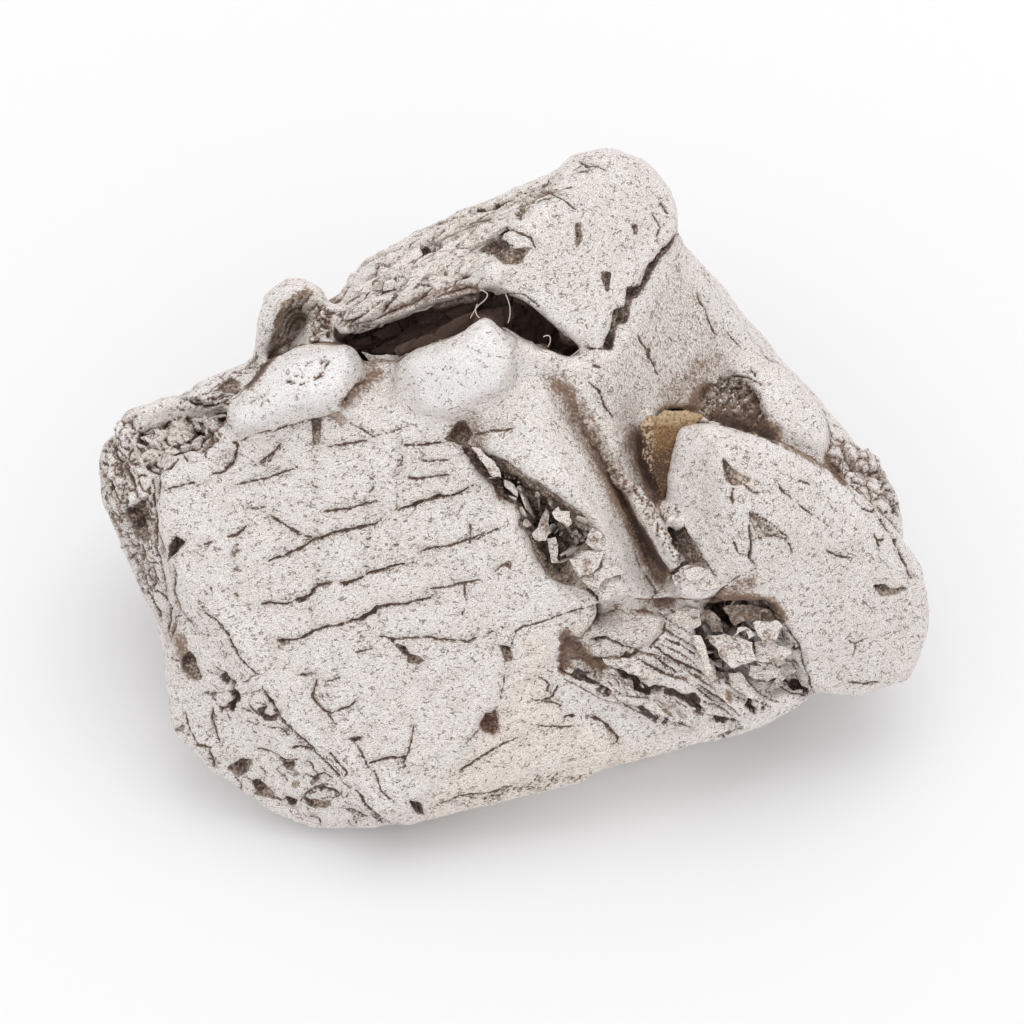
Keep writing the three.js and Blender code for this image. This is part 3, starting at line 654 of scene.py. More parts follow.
# Fainter cracks run straight down the face, in dots, across the grooves.
for (top, high), (foot, low) in [
    ((-8.5, 2.0), (-8.5, -4.5)), ((-6.1, 0.8), (-6.5, -3.7)),
    ((-4.9, 1.8), (-5.2, -2.8)), ((-12.0, -2.4), (-12.1, -3.6)),
]:
    strip = [(top - 0.12, high), (top + 0.12, high), (foot + 0.12, low), (foot - 0.12, low)]
    skin.scratch(skin.inside(strip, 0.05), 16, 0.25, 80, 90, 0.11, 0.05, seed=59, grime_and_shade=0.6)
    skin.cut([(top, high), (foot, low)], 0.08, 0.03, grime_and_shade=0.25)
skin.pit([(-8.7, 3.1), (-8.25, 3.05), (-8.3, 2.0), (-8.65, 1.9)], 0.25, grime_and_shade=0.6)

# The step where the face ends above the left bulge, and the break on its lower right.
FACE_STEP = [
    (-13.6, -4.7), (-13.3, -5.3), (-12.8, -5.6), (-12.3, -6.2), (-12.1, -6.7), (-11.6, -7.4), (-11.1, -7.9),
    (-10.9, -8.4), (-10.6, -9.0), (-10.2, -9.6), (-9.9, -10.1), (-9.0, -10.8), (-8.5, -11.4), (-8.0, -11.9),
    (-7.3, -12.7), (-6.8, -13.0), (-6.4, -13.6), (-5.8, -14.1), (-5.2, -14.4),
]
skin.cut(FACE_STEP, (0.16, 0.24, 0.16, 0.26, 0.12, 0.14, 0.2, 0.3), 0.18)
skin.cut([(-14.7, -3.0), (-14.6, -4.4), (-14.3, -5.2), (-13.6, -6.0)], 0.14, 0.12, grime_and_shade=0.7)
skin.cut([(3.6, -4.9), (1.8, -5.4), (0.0, -6.0), (-0.2, -7.0)], 0.12, 0.10, grime_and_shade=0.8)
skin.cut([(-0.3, -7.4), (-0.6, -9.0), (-1.3, -10.2), (-2.2, -11.0)], 0.12, 0.08, grime_and_shade=0.6)

# Pits and torn spots, each with its depth and how dark it is.
for depth, grime_and_shade, outline in [
    (0.30, 0.80, [(-14.4, -7.2), (-14.0, -6.9), (-13.7, -7.3), (-13.4, -8.1), (-13.8, -8.2), (-14.3, -7.8)]),
    (0.35, 0.75, [(-12.2, -11.9), (-11.9, -11.6), (-11.4, -11.7), (-11.5, -12.2), (-11.8, -12.4),
                  (-12.2, -12.4)]),
    (0.35, 0.85, [(-11.4, -12.6), (-11.1, -12.5), (-10.5, -13.0), (-10.4, -13.4), (-11.0, -13.3),
                  (-11.3, -12.9)]),
    (0.40, 1.00, [(-10.0, -13.2), (-9.4, -13.4), (-9.6, -13.8), (-9.9, -13.6)]),
    (0.30, 0.80, [(-9.2, -13.2), (-8.8, -13.4), (-8.1, -13.4), (-7.9, -13.6), (-8.2, -13.8), (-8.9, -13.7)]),
    (0.40, 0.90, [(-4.65, -13.3), (-4.1, -13.3), (-3.9, -14.0), (-4.25, -13.9)]),
    (0.30, 0.70, [(-10.1, -11.8), (-9.5, -11.7), (-9.5, -12.1), (-9.8, -12.1)]),
    (0.25, 0.80, [(-11.1, -9.4), (-10.5, -9.7), (-10.1, -9.6), (-10.2, -9.9), (-10.8, -9.9)]),
    (0.60, 1.00, [(-14.6, -2.0), (-14.1, -2.2), (-14.5, -2.7), (-15.0, -3.1), (-14.9, -2.5)]),
    (0.35, 0.90, [(-5.2, -6.5), (-4.7, -6.7), (-4.4, -7.2), (-4.9, -7.0)]),
    (0.25, 0.80, [(-4.6, -7.0), (-4.1, -7.1), (-3.8, -7.3), (-4.1, -7.5), (-4.6, -7.4)]),
    (0.20, 0.70, [(-10.3, -6.4), (-9.7, -6.4), (-9.6, -6.6), (-10.0, -6.7)]),
    (0.20, 0.80, [(-9.4, -7.9), (-8.9, -7.8), (-8.6, -7.9), (-9.0, -8.0)]),
    (0.25, 0.80, [(-7.2, -10.7), (-6.7, -10.6), (-6.5, -10.7), (-7.0, -10.9)]),
    (0.35, 0.80, [(-0.7, -6.6), (-0.2, -6.7), (-0.1, -7.3), (-0.4, -7.4)]),
    (0.15, 0.60, [(-0.5, -3.1), (-0.2, -3.0), (-0.1, -3.4), (-0.4, -3.3)]),
]:
    skin.pit(outline, depth, grime_and_shade)
for width, depth, route in [
    ((0.15, 0.5, 0.4, 0.4, 0.45, 0.15), 0.45,
     [(-12.9, -7.5), (-12.5, -7.8), (-12.2, -8.3), (-12.0, -9.0), (-12.2, -9.35), (-12.6, -9.4),
      (-13.2, -8.9)]),
    (0.16, 0.15, [(-13.1, -9.3), (-12.9, -10.5), (-12.7, -10.9)]),
    (0.16, 0.15, [(-13.2, -11.2), (-13.0, -12.0)]),
    (0.14, 0.12, [(-14.3, -9.6), (-14.1, -10.3), (-13.7, -11.0), (-13.0, -11.1)]),
    (0.14, 0.12, [(-11.4, -9.2), (-10.9, -9.7)]),
    (0.14, 0.12, [(-10.6, -10.2), (-10.0, -10.3), (-9.7, -10.6)]),
    (0.16, 0.12, [(-11.3, -11.2), (-10.6, -11.4), (-9.9, -11.7), (-9.3, -11.6)]),
    (0.14, 0.12, [(-9.7, -11.2), (-9.2, -11.0), (-8.7, -11.2)]),
    (0.14, 0.12, [(-9.1, -12.2), (-8.7, -12.4), (-8.3, -12.2), (-7.9, -12.4)]),
    (0.18, 0.16, [(-9.1, -13.2), (-8.6, -12.85), (-7.9, -12.95), (-7.5, -13.1), (-7.9, -13.3)]),
    (0.16, 0.14, [(-7.5, -13.8), (-6.9, -13.85), (-6.6, -14.1), (-6.1, -14.0), (-5.6, -14.4)]),
    (0.14, 0.12, [(-9.0, -14.1), (-8.5, -14.3), (-8.4, -14.6)]),
    (0.12, 0.10, [(-12.2, -12.4), (-11.9, -12.8), (-11.9, -13.1)]),
    (0.14, 0.12, [(-8.0, -11.3), (-7.5, -11.9), (-7.2, -12.2), (-7.4, -12.4)]),
]:
    skin.cut(route, width, depth)
RED_PIT = [(-1.3, -9.6), (-0.8, -9.5), (-0.7, -10.2), (-0.9, -10.6), (-1.3, -10.5), (-1.5, -10.1)]
skin.pit(RED_PIT, 0.7, grime_and_shade=0.8, rust=0.7, rough=0.2)
skin.pit([(-16.7, -0.8), (-16.2, -0.6), (-15.8, -1.1), (-15.6, -1.9), (-15.9, -2.3), (-16.3, -1.8),
          (-16.6, -1.3)], 0.55, grime_and_shade=0.75, rough=0.25)
skin.shade([(-14.4, -6.0), (-14.3, -7.0), (-14.0, -7.6), (-13.7, -8.2)], 0.5, 0.7, 0.6)

# The lips: swollen, smooth and pale, with a dent in the left one and a dark crevice between.
LEFT_LIP = [
    (-12.3, 2.3), (-12.3, 3.4), (-11.8, 3.9), (-11.0, 4.2), (-11.0, 4.8), (-10.5, 5.3),
    (-9.5, 5.9), (-8.2, 6.2), (-7.2, 6.3), (-6.7, 6.0), (-6.4, 5.5), (-6.3, 5.1),
    (-6.7, 4.5), (-7.4, 3.7), (-8.0, 3.3), (-9.5, 3.0), (-11.0, 2.4), (-12.0, 2.0),
]
RIGHT_LIP = [
    (-5.0, 5.5), (-4.0, 6.0), (-3.2, 6.2), (-2.5, 6.4), (-2.0, 7.0), (-1.3, 7.6),
    (-0.5, 6.9), (0.1, 5.9), (0.0, 4.8), (-0.3, 3.9), (-2.0, 3.4), (-2.7, 3.0),
    (-3.3, 2.9), (-4.2, 3.2),
]
for lip in (LEFT_LIP, RIGHT_LIP):
    pale = skin.inside(lip, 0.8)
    skin.tint("bare", pale)
    skin.height += 0.25 * pale
skin.dent((-10.9, 3.7), (1.4, 0.8), 0.25, 40)
skin.dent((-8.9, 4.7), (2.2, 0.8), 0.15, 22, rough=0.03)
dented = skin.inside([(-9.8, 4.2), (-9.7, 4.8), (-8.2, 5.5), (-7.8, 5.0), (-8.8, 4.4)], 0.1)
skin.scratch(dented, 14, 0.3, 25, 60, 0.08, 0.03, seed=64, grime_and_shade=0.3)
for width, depth, route in [
    (0.16, 0.10, [(-12.0, 2.0), (-10.5, 2.45), (-9.0, 2.9), (-7.9, 3.2)]),
    (0.14, 0.10, [(-7.1, 2.9), (-6.6, 2.6), (-6.0, 2.3), (-4.8, 2.6)]),
    (0.20, 0.20, [(-7.4, 3.65), (-6.9, 4.2), (-6.3, 4.7)]),
    (0.14, 0.12, [(-6.6, 5.9), (-5.9, 5.8), (-5.0, 5.85)]),
    (0.20, 0.20, [(-12.2, 2.1), (-11.9, 1.9), (-12.0, 1.2), (-12.4, 0.8), (-13.0, 0.7)]),
    (0.12, 0.10, [(-15.0, 0.0), (-14.2, 0.2), (-13.5, 0.35)]),
]:
    skin.cut(route, width, depth)
# Painted shade, with some dirt, in the crevice between the lips and beside it.
skin.shade([(-7.5, 3.6), (-6.9, 4.2), (-6.2, 4.9), (-5.7, 5.2)], 0.25, 0.8, 0.55)
skin.shade([(-6.3, 5.3), (-5.8, 5.5), (-5.0, 5.6)], 0.2, 0.4, 0.4, rust=0.2)
skin.pit([(-8.1, 3.2), (-7.5, 3.4), (-7.1, 3.0), (-7.4, 2.6), (-7.6, 2.9)], 0.08, grime_and_shade=0.35, rust=0.4)
skin.dent((-12.4, 1.3), (0.9, 0.7), 0.15, 40, grime_and_shade=0.2)

# The stepped crack up the block behind, filled with dirt, and the thin one that leads to it.
jagged = skin.inside(STEPPED_CRACK, 0.08)
skin.crumble(jagged, 0.35, 0.1, grime_and_shade=0.4)
skin.pit(STEPPED_CRACK, 0.5, grime_and_shade=0.9)
skin.cut([(5.0, 8.5), (5.6, 9.35), (6.2, 10.0), (7.05, 11.1)], 0.2, 0.3)
skin.cut([(3.0, 6.0), (3.8, 6.0)], 0.14, 0.2)
skin.cut([(3.2, 5.3), (3.9, 5.1), (4.4, 5.0)], 0.14, 0.12)

# The fissure: a rough dark floor, well below the lips, dark with dirt and painted shade that deepen
# downwards.
cleft = skin.inside(FISSURE, 0.2) * smooth((skin.bridged(1.2) - skin.place[:, 2] - 0.9) / 0.8)
skin.crumble(cleft, 0.9, 0.4, grime_and_shade=0.9, degrees=20, stretch=(2, 1, 1))
skin.tint("grime_and_shade", cleft)
skin.clean *= 1 - 0.8 * cleft

# The block's laminated rim, torn into sheets that rise to the right, and the rust and painted shade under
# its ledge.
RIM = [
    (-7.5, 6.4), (-6.3, 7.1), (-4.9, 7.4), (-3.5, 8.0), (-1.2, 8.3), (-1.8, 9.2), (-0.9, 10.2),
    (0.9, 12.0), (2.0, 12.6), (2.4, 14.0), (0.5, 13.1), (-2.5, 12.1), (-5.2, 10.4),
    (-7.0, 9.1), (-8.1, 8.5),
]
rim = skin.inside(RIM, 0.5)
bark = smooth((-2.0 - skin.flat[:, 0]) / 3)
skin.tint("banded", 0.45 * rim)
skin.tint("sand", 0.5 * rim)
skin.layer(rim * bark, 40, 0.9, 0.8, grime_and_shade=0.8)
skin.layer(rim * (1 - bark), 27, 0.9, 0.5, grime_and_shade=0.6, seed=52)
skin.scratch(rim, 60, 1.4, 28, 22, 0.12, 0.10, seed=65, grime_and_shade=0.7)
for fold in [
    [(-4.1, 11.0), (-3.1, 11.6), (-1.4, 12.0), (0.4, 12.7), (1.8, 13.2)],
    [(-6.7, 9.6), (-5.8, 10.1), (-4.5, 10.2), (-3.1, 10.6), (-1.8, 11.0)],
    [(-7.4, 8.1), (-6.3, 9.1), (-5.4, 9.4), (-4.0, 9.8), (-2.9, 10.2), (-2.0, 10.8)],
    [(-7.6, 7.0), (-7.0, 7.8), (-6.1, 8.5), (-4.9, 8.8), (-3.6, 9.1), (-2.2, 9.4)],
    [(-5.8, 7.3), (-5.4, 8.2), (-4.0, 8.7), (-2.7, 8.8)],
]:
    skin.cut(fold, (0.12, 0.24, 0.16), 0.45)
skin.dent((-1.2, 9.0), (2.4, 1.4), -0.3, 15)
for depth, grime_and_shade, outline in [
    (0.25, 0.75, [(-1.6, 10.2), (-1.0, 10.7), (-0.3, 10.6), (-0.2, 10.2), (0.7, 10.3), (0.2, 9.6),
                  (-0.5, 9.6), (-1.0, 10.0)]),
    (0.15, 0.65, [(2.5, 11.3), (2.8, 11.4), (2.8, 10.6), (2.6, 10.2)]),
    (0.15, 0.80, [(4.9, 11.3), (5.2, 11.4), (5.2, 11.0), (5.0, 10.9)]),
    (0.12, 0.50, [(3.7, 9.3), (4.1, 9.3), (4.0, 8.4), (3.8, 8.5)]),
]:
    skin.pit(outline, depth, grime_and_shade)
for width, depth, route in [
    (0.14, 0.12, [(-1.5, 10.4), (-0.9, 10.9), (-0.1, 11.1), (0.7, 10.7), (0.9, 10.2)]),
    (0.14, 0.12, [(-1.0, 10.3), (-0.5, 10.5), (0.1, 10.3)]),
    (0.18, 0.16, [(2.7, 14.1), (3.1, 13.8), (3.5, 13.9), (3.9, 13.6)]),
    (0.14, 0.12, [(1.9, 13.3), (2.5, 13.5), (3.2, 13.6)]),
    (0.12, 0.10, [(-2.5, 11.0), (-0.5, 11.6), (0.6, 12.2)]),
    (0.14, 0.12, [(1.3, 12.8), (1.9, 12.4), (2.5, 12.0)]),
    (0.12, 0.10, [(-1.5, 7.3), (-0.9, 8.2), (0.4, 8.2), (1.2, 7.6)]),
    (0.12, 0.10, [(5.9, 11.8), (6.2, 11.2), (6.0, 10.8)]),
    (0.12, 0.10, [(6.2, 12.4), (6.6, 11.8)]),
]:
    skin.cut(route, width, depth)
# Rust and painted shade under the ledge.
skin.shade([(-5.8, 7.4), (-4.9, 7.9), (-3.4, 8.5), (-2.0, 8.75), (-1.0, 8.5)], 0.15, 0.7, 0.4, rust=0.45)
UPPER_FACE = [
    (-1.2, 9.2), (0.8, 11.8), (2.6, 14.0), (5.4, 14.2), (6.8, 12.0), (6.8, 11.2), (4.4, 8.4), (3.4, 6.4),
    (1.0, 7.8), (-0.8, 8.6),
]
skin.tint("drab", 0.35 * skin.inside(UPPER_FACE, 0.8))
skin.scratch(skin.inside(UPPER_FACE, 0.4), 40, 0.4, -60, 60, 0.08, 0.03, seed=66, grime_and_shade=0.35)

# The slope right of the crack, drab and finely hatched, and the dark hollow that it falls into.
SLOPE = [
    (4.2, 6.4), (5.3, 8.5), (7.0, 10.8), (8.8, 8.3), (10.4, 6.2), (9.3, 4.9), (8.2, 3.6),
    (6.2, 3.4), (5.2, 2.4), (4.6, 0.8), (3.0, 3.0), (1.4, 5.6), (3.0, 5.6),
]
slope = skin.inside(SLOPE, 1.0)
skin.tint("drab", 0.7 * slope)
skin.tint("steep", slope)
skin.scratch(slope, 40, 0.4, -72, 25, 0.08, 0.03, seed=67, grime_and_shade=0.35)
for width, depth, route in [
    ((0.14, 0.2, 0.3, 0.1), 0.16, [(5.2, 6.7), (5.6, 6.1), (5.9, 5.4), (6.2, 4.8)]),
    (0.16, 0.12, [(7.8, 8.6), (8.3, 7.6), (8.8, 6.6)]),
    (0.16, 0.14, [(3.1, 4.6), (3.6, 4.2), (3.8, 3.5), (4.3, 3.0)]),
    (0.12, 0.10, [(8.9, 7.2), (9.4, 6.6), (9.8, 6.2)]),
]:
    skin.cut(route, width, depth)
hollow = skin.inside(HOLLOW, 0.4)
skin.crumble(hollow, 0.22, 0.12, grime_and_shade=0.5)
skin.crumble(hollow, 0.7, 0.2, grime_and_shade=0.4, seed=44)
skin.scratch(hollow, 60, 0.35, 70, 80, 0.10, 0.08, seed=45, grime_and_shade=0.7)
skin.keep_free_of_dirt_and_shade(0.85 * hollow)
HOLLOW_BRINK = [(6.6, 3.6), (7.2, 6.0), (9.6, 6.4), (10.8, 4.6), (11.4, 2.0), (8.0, 2.6)]
skin.tint("drab", skin.inside(HOLLOW_BRINK, 1.0))
# Painted shade in the hollow, with dirt and rust: darkest along the foot of the nose's cliff, as its shadow.
skin.shade([(8.2, 3.1), (9.0, 2.9), (10.2, 2.5), (11.3, 1.9)], 1.3, 0.05, 1.1, rust=0.2)
skin.shade([(9.3, 2.9), (10.0, 3.1), (10.5, 3.2)], 0.6, 0.6, 0.8)
skin.shade([(7.6, 3.3), (8.1, 4.2), (8.6, 4.6)], 0.7, 0.4, 0.75, rust=0.3)
skin.shade([(6.4, 3.6), (7.2, 4.4), (8.2, 5.4), (9.4, 5.6)], 0.9, 0.9, 0.3)
skin.cut([(9.0, 4.8), (9.9, 4.9), (10.6, 4.6), (10.1, 5.3)], 0.16, 0.15)

# The lump behind the nose that has crumbled, dark and coarse, and the smooth one above it.
CRUMBLED = [
    (13.6, 2.5), (14.4, 2.4), (15.8, 1.5), (16.8, 0.4), (17.1, -0.9), (16.2, -1.6), (14.6, 0.2),
    (13.4, 1.0),
]
coarse = skin.inside(CRUMBLED, 0.3)
skin.crumble(coarse, 0.7, 0.16, grime_and_shade=0.3)
skin.layer(coarse, -50, 0.7, 0.16, grime_and_shade=0.4, seed=56)
skin.scratch(coarse, 26, 0.7, -50, 80, 0.14, 0.14, seed=75)
skin.tint("drab", 0.4 * coarse)
# Painted shade along the foot of the crumbled lump and under the nose's top edge.
skin.shade([(13.4, 1.6), (13.7, 0.8), (14.2, 0.1)], 0.6, 0.2, 0.8)
skin.shade([(11.3, 1.9), (12.6, 1.2), (13.4, 0.8)], 0.5, 0.05, 0.5)

# The nose: its torn notches, its slit, its loops near the edge and a faint hatch.
NOSE = [
    (8.0, 2.8), (10.5, 2.0), (13.2, 0.6), (16.0, -2.0), (17.4, -5.0), (17.2, -7.6), (15.4, -8.8),
    (13.2, -8.8), (12.4, -6.4), (10.8, -4.6), (8.6, -4.2), (6.8, 0.6),
]
nose = skin.inside(NOSE, 0.5)
skin.tint("falling", nose)
skin.tint("drab", 0.3 * nose)
skin.scratch(nose, 110, 0.55, -32, 36, 0.08, 0.03, seed=68, grime_and_shade=0.4)
for depth, grime_and_shade, outline in [
    (0.15, 0.12, [(8.8, 1.4), (9.5, 0.7), (10.1, 0.4), (9.6, 0.1), (9.1, 0.2)]),
    (0.22, 0.12, [(9.9, -0.8), (10.8, -1.5), (11.5, -1.9), (10.2, -2.1)]),
    (0.30, 0.75, [(8.85, 1.2), (9.1, 0.7), (9.15, 0.2), (8.95, 0.4)]),
    (0.35, 0.65, [(15.4, -4.1), (15.7, -4.5), (16.4, -4.5), (17.0, -4.2), (16.2, -4.2), (15.9, -4.0)]),
]:
    skin.pit(outline, depth, grime_and_shade, soft=0.08)
for width, depth, route in [
    (0.18, 0.20, [(9.9, -0.9), (9.95, -1.8), (10.1, -2.4), (10.0, -2.9), (10.3, -3.2)]),
    (0.14, 0.12, [(9.9, -0.8), (10.8, -1.4), (11.5, -1.9), (11.9, -2.3)]),
    (0.16, 0.14, [(10.2, -2.1), (11.0, -1.95), (11.5, -2.1), (11.8, -2.4), (11.9, -2.8)]),
    (0.10, 0.06, [(10.2, -1.4), (11.0, -1.8)]),
    (0.10, 0.06, [(10.2, -1.7), (10.8, -1.9)]),
    (0.12, 0.10, [(9.3, -2.1), (9.5, -2.7), (9.9, -2.8)]),
    (0.12, 0.10, [(9.3, 0.1), (9.2, -0.3), (9.3, -0.6)]),
    (0.12, 0.10, [(9.5, 0.3), (10.1, -0.1), (10.8, -0.1)]),
    (0.16, 0.12, [(11.0, 0.5), (11.5, -0.2), (12.3, -0.8), (12.7, -1.1)]),
    (0.12, 0.10, [(12.0, 0.4), (12.6, 0.2)]),
    (0.16, 0.12, [(13.4, -2.6), (14.0, -2.9), (14.6, -3.0)]),
    (0.12, 0.10, [(15.4, -1.9), (15.6, -2.2), (15.9, -2.1)]),
    (0.12, 0.10, [(15.6, -2.2), (15.6, -2.5)]),
    (0.14, 0.12, [(14.5, -0.4), (14.9, -0.8), (15.4, -0.9), (15.6, -0.6)]),
    (0.20, 0.20, [(15.4, -0.8), (16.0, -1.6), (16.5, -2.5), (16.8, -3.2), (17.1, -3.9)]),
    (0.12, 0.10, [(14.1, -6.3), (14.7, -6.6), (15.2, -6.4)]),
    (0.12, 0.10, [(14.7, -6.6), (14.6, -7.2)]),
    (0.14, 0.10, [(14.4, -8.3), (15.2, -8.4), (15.8, -8.3)]),
    (0.14, 0.10, [(10.3, -3.3), (9.3, -3.85), (8.7, -4.4), (8.3, -4.85)]),
]:
    skin.cut(route, width, depth)
# Painted shade on the nose's underside, above the ledge.
skin.shade([(8.3, -4.85), (8.9, -4.3), (9.5, -3.9), (10.3, -3.6)], 0.05, 1.0, 0.5)
for torn in (
    [(9.0, 1.2), (9.4, 0.9), (11.0, 0.0), (10.0, -0.1), (9.2, 0.1)],
    [(9.9, -0.8), (11.4, -1.9), (10.2, -2.1)],
):
    skin.tint("sand", skin.inside(torn, 0.1))
    skin.scratch(skin.inside(torn, 0.05), 16, 0.4, -35, 30, 0.09, 0.04, seed=78, grime_and_shade=0.6)

# The broken ground: strata that fall to the right, a rounded tongue over them, and the dark
# clefts between the plates prised up under the nose.
BROKEN_GROUND = [
    (1.9, -5.9), (3.7, -4.9), (5.0, -5.1), (8.3, -4.8), (10.8, -4.8), (11.8, -6.0), (12.2, -7.8),
    (12.6, -9.0), (9.8, -10.0), (8.0, -10.3), (6.5, -10.1), (4.0, -9.4), (1.9, -8.4),
]
TONGUE = [
    (2.2, -5.9), (3.7, -4.8), (5.1, -5.15), (6.5, -5.3), (6.4, -6.1), (5.9, -6.6), (4.9, -7.0), (3.6, -7.3),
    (2.8, -6.9),
]
tongue = skin.inside(TONGUE, 0.25)
ground = skin.inside(BROKEN_GROUND, 0.35) * (1 - tongue)
skin.tint("falling", ground)
skin.tint("banded", 0.5 * ground)
skin.layer(ground, -37, 0.55, 0.11, grime_and_shade=0.2)
skin.height += 0.3 * tongue
skin.tint("drab", skin.inside(TONGUE, 0.1))
# Painted shade along the tongue's lower edge and the broken ground's left edge.
skin.shade([(1.9, -6.0), (2.4, -6.7), (3.2, -7.3), (4.0, -7.7)], 0.6, 0.5, 0.8)
skin.shade([(1.95, -6.2), (1.9, -7.0), (1.95, -8.0)], 1.0, 0.05, 0.9)
for width, depth, route in [
    ((0.12, 0.16, 0.3, 0.2, 0.14), 0.25,
     [(6.5, -5.4), (6.4, -6.1), (6.0, -6.5), (5.6, -6.9), (4.9, -7.05), (3.9, -7.3), (3.2, -7.3)]),
    (0.14, 0.12, [(3.2, -6.3), (4.0, -6.3), (4.6, -6.6), (5.2, -6.8)]),
    (0.20, 0.20, [(5.9, -6.7), (6.8, -7.3), (8.2, -7.95)]),
    (0.12, 0.12, [(5.6, -6.9), (7.0, -7.9), (8.7, -8.9), (9.9, -9.85)]),
    (0.12, 0.12, [(5.0, -7.1), (6.4, -7.9), (7.7, -8.5), (9.0, -9.3)]),
    (0.12, 0.10, [(6.2, -6.3), (7.2, -6.7), (7.9, -7.2)]),
    ((0.2, 0.35, 0.6, 0.45, 0.6, 0.3), 0.45,
     [(4.0, -7.55), (5.0, -8.1), (5.6, -8.6), (6.9, -8.75), (7.6, -9.1), (8.4, -9.8)]),
    ((0.3, 0.5, 0.35, 0.15), 0.35, [(2.0, -7.7), (3.0, -8.0), (3.8, -8.6), (4.7, -9.2)]),
    ((0.3, 0.4, 0.3, 0.2), 0.3, [(4.4, -9.0), (5.4, -9.5), (6.3, -9.9), (7.8, -10.3)]),
    (0.25, 0.3, [(8.4, -9.85), (9.1, -9.9), (9.7, -10.0)]),
    ((0.2, 0.5, 0.3), 0.5, [(7.6, -5.8), (8.2, -6.4), (8.7, -7.4), (9.2, -7.9)]),
    ((0.1, 0.35, 0.35, 0.1), 0.5, [(11.4, -8.0), (12.2, -8.5), (13.1, -9.0)]),
    (0.16, 0.25, [(11.5, -8.5), (12.1, -8.8), (12.7, -9.0)]),
    ((0.1, 0.3, 0.1), 0.4, [(11.2, -6.3), (11.9, -6.7), (12.4, -7.2)]),
    ((0.2, 0.3, 0.2), 0.4, [(10.1, -8.8), (10.1, -9.3), (10.3, -9.7)]),
    (0.20, 0.3, [(10.7, -8.9), (10.7, -9.5)]),
    (0.20, 0.2, [(8.8, -10.6), (9.4, -10.4), (9.8, -10.3)]),
]:
    skin.cut(route, width, depth)
# The cave under the nose's overhang: a pit dark with dirt and painted shade, and painted shade along the
# ledge above it.
skin.pit([(8.2, -4.85), (9.2, -4.7), (10.7, -4.65), (11.2, -4.95), (11.5, -5.6), (10.0, -5.6), (9.2, -6.0),
          (8.6, -5.6)], 0.7, grime_and_shade=0.95, soft=0.3)
skin.pit([(7.6, -5.7), (8.0, -5.7), (8.3, -6.3), (7.9, -6.5)], 0.6, grime_and_shade=1.0)
skin.shade([(8.2, -4.8), (9.6, -4.6), (10.9, -4.8), (11.6, -5.8)], 0.5, 0.5, 0.75)
skin.cut([(11.6, -5.8), (12.2, -6.7), (12.4, -7.6), (12.9, -8.8)], 0.14, 0.2)

# The cavity: smooth brown walls, dirt and painted shade in its depth, painted shade under its left edge, and
# a rusty pit at its upper end.
skin.pit(CAVITY, 0.0, grime_and_shade=0.6)
deepest = skin.inside(CAVITY, 0.7)
skin.crumble(deepest, 0.35, 0.2, grime_and_shade=0.9, degrees=-50, stretch=(1.5, 0.7, 1))
skin.tint("grime_and_shade", 0.9 * deepest)
skin.shade([(-2.1, 1.6), (-1.9, 1.1), (-1.5, 0.6), (-1.1, 0.2), (-0.85, -0.35), (-0.45, -0.6)],
           0.6, 0.05, 0.8, rust=0.3)
skin.cut([(3.0, -4.2), (3.7, -4.8)], 0.2, 0.25)
skin.tint("drab", skin.inside([(-1.8, 2.3), (-1.8, 2.9), (-1.0, 3.3), (0.4, 2.9), (0.0, 2.3)], 0.3))
skin.cut([(-1.8, 2.3), (-1.0, 2.5), (0.0, 2.6)], 0.14, 0.10, grime_and_shade=0.8)
skin.pit([(-3.0, 2.1), (-2.5, 2.8), (-2.1, 2.95), (-1.8, 2.35), (-2.2, 1.9)],
         0.5, grime_and_shade=0.85, rust=0.45, soft=0.4)
for end in [(-2.75, 2.1), (-2.45, 2.75), (-2.1, 2.9), (-1.75, 2.35)]:
    skin.cut([(-2.2, 1.95), end], 0.12, 0.1, rust=0.8)
skin.shade([(-2.0, 3.0), (-1.7, 2.3), (-1.9, 1.9)], 1.0, 0.1, 0.38)
skin.cut([(-2.2, 2.0), (-2.1, 1.6), (-1.8, 1.2)], 0.25, 0.3, rust=0.6)
skin.cut([(-0.4, -3.1), (-0.9, -3.5)], 0.1, 0.08)

# The trough between the spine and the nose: two brown grooves with a pale rib between them.
FLANK = [
    (0.8, 5.2), (1.8, 4.9), (2.6, 3.9), (3.9, 1.9), (4.6, 0.4), (5.5, -1.4), (6.8, -3.9), (6.0, -4.3),
    (4.9, -2.6), (3.7, -0.5), (2.6, 1.6), (1.4, 3.6),
]
flank = skin.inside(FLANK, 0.7)
skin.tint("drab", skin.inside(FLANK, 0.3))
skin.tint("steep", skin.inside(FLANK, 0.3))
# Painted shade with brown dirt: darker down the flank, in the two grooves and in the strip beside the crust.
skin.tint("grime_and_shade", flank * smooth(0.95 - (skin.flat[:, 1] + 3) / 9))
skin.shade([(4.0, 1.0), (4.6, -0.1), (5.4, -1.6), (6.0, -2.6), (6.7, -3.8)], 0.1, 1.0, 1.0)
skin.shade([(4.0, 1.0), (4.9, -0.7), (5.9, -2.6), (6.5, -3.9)], 0.3, 0.5, 1.0)
skin.shade([(5.3, 2.6), (5.6, 1.2), (6.0, 0.0), (6.25, -0.8)], 0.5, 0.8, 1.0, rust=0.2)
skin.shade([(5.0, 3.0), (5.1, 1.8), (5.5, 0.6), (6.0, -0.4)], 0.9, 0.9, 0.42)
skin.shade([(1.4, 5.0), (2.3, 3.9), (3.3, 2.2), (4.2, 0.6), (4.8, -0.6)], 0.9, 0.7, 0.45)
skin.shade([(6.2, 1.0), (6.2, 0.0), (6.3, -0.7)], 0.3, 0.3, 0.6, rust=0.6)
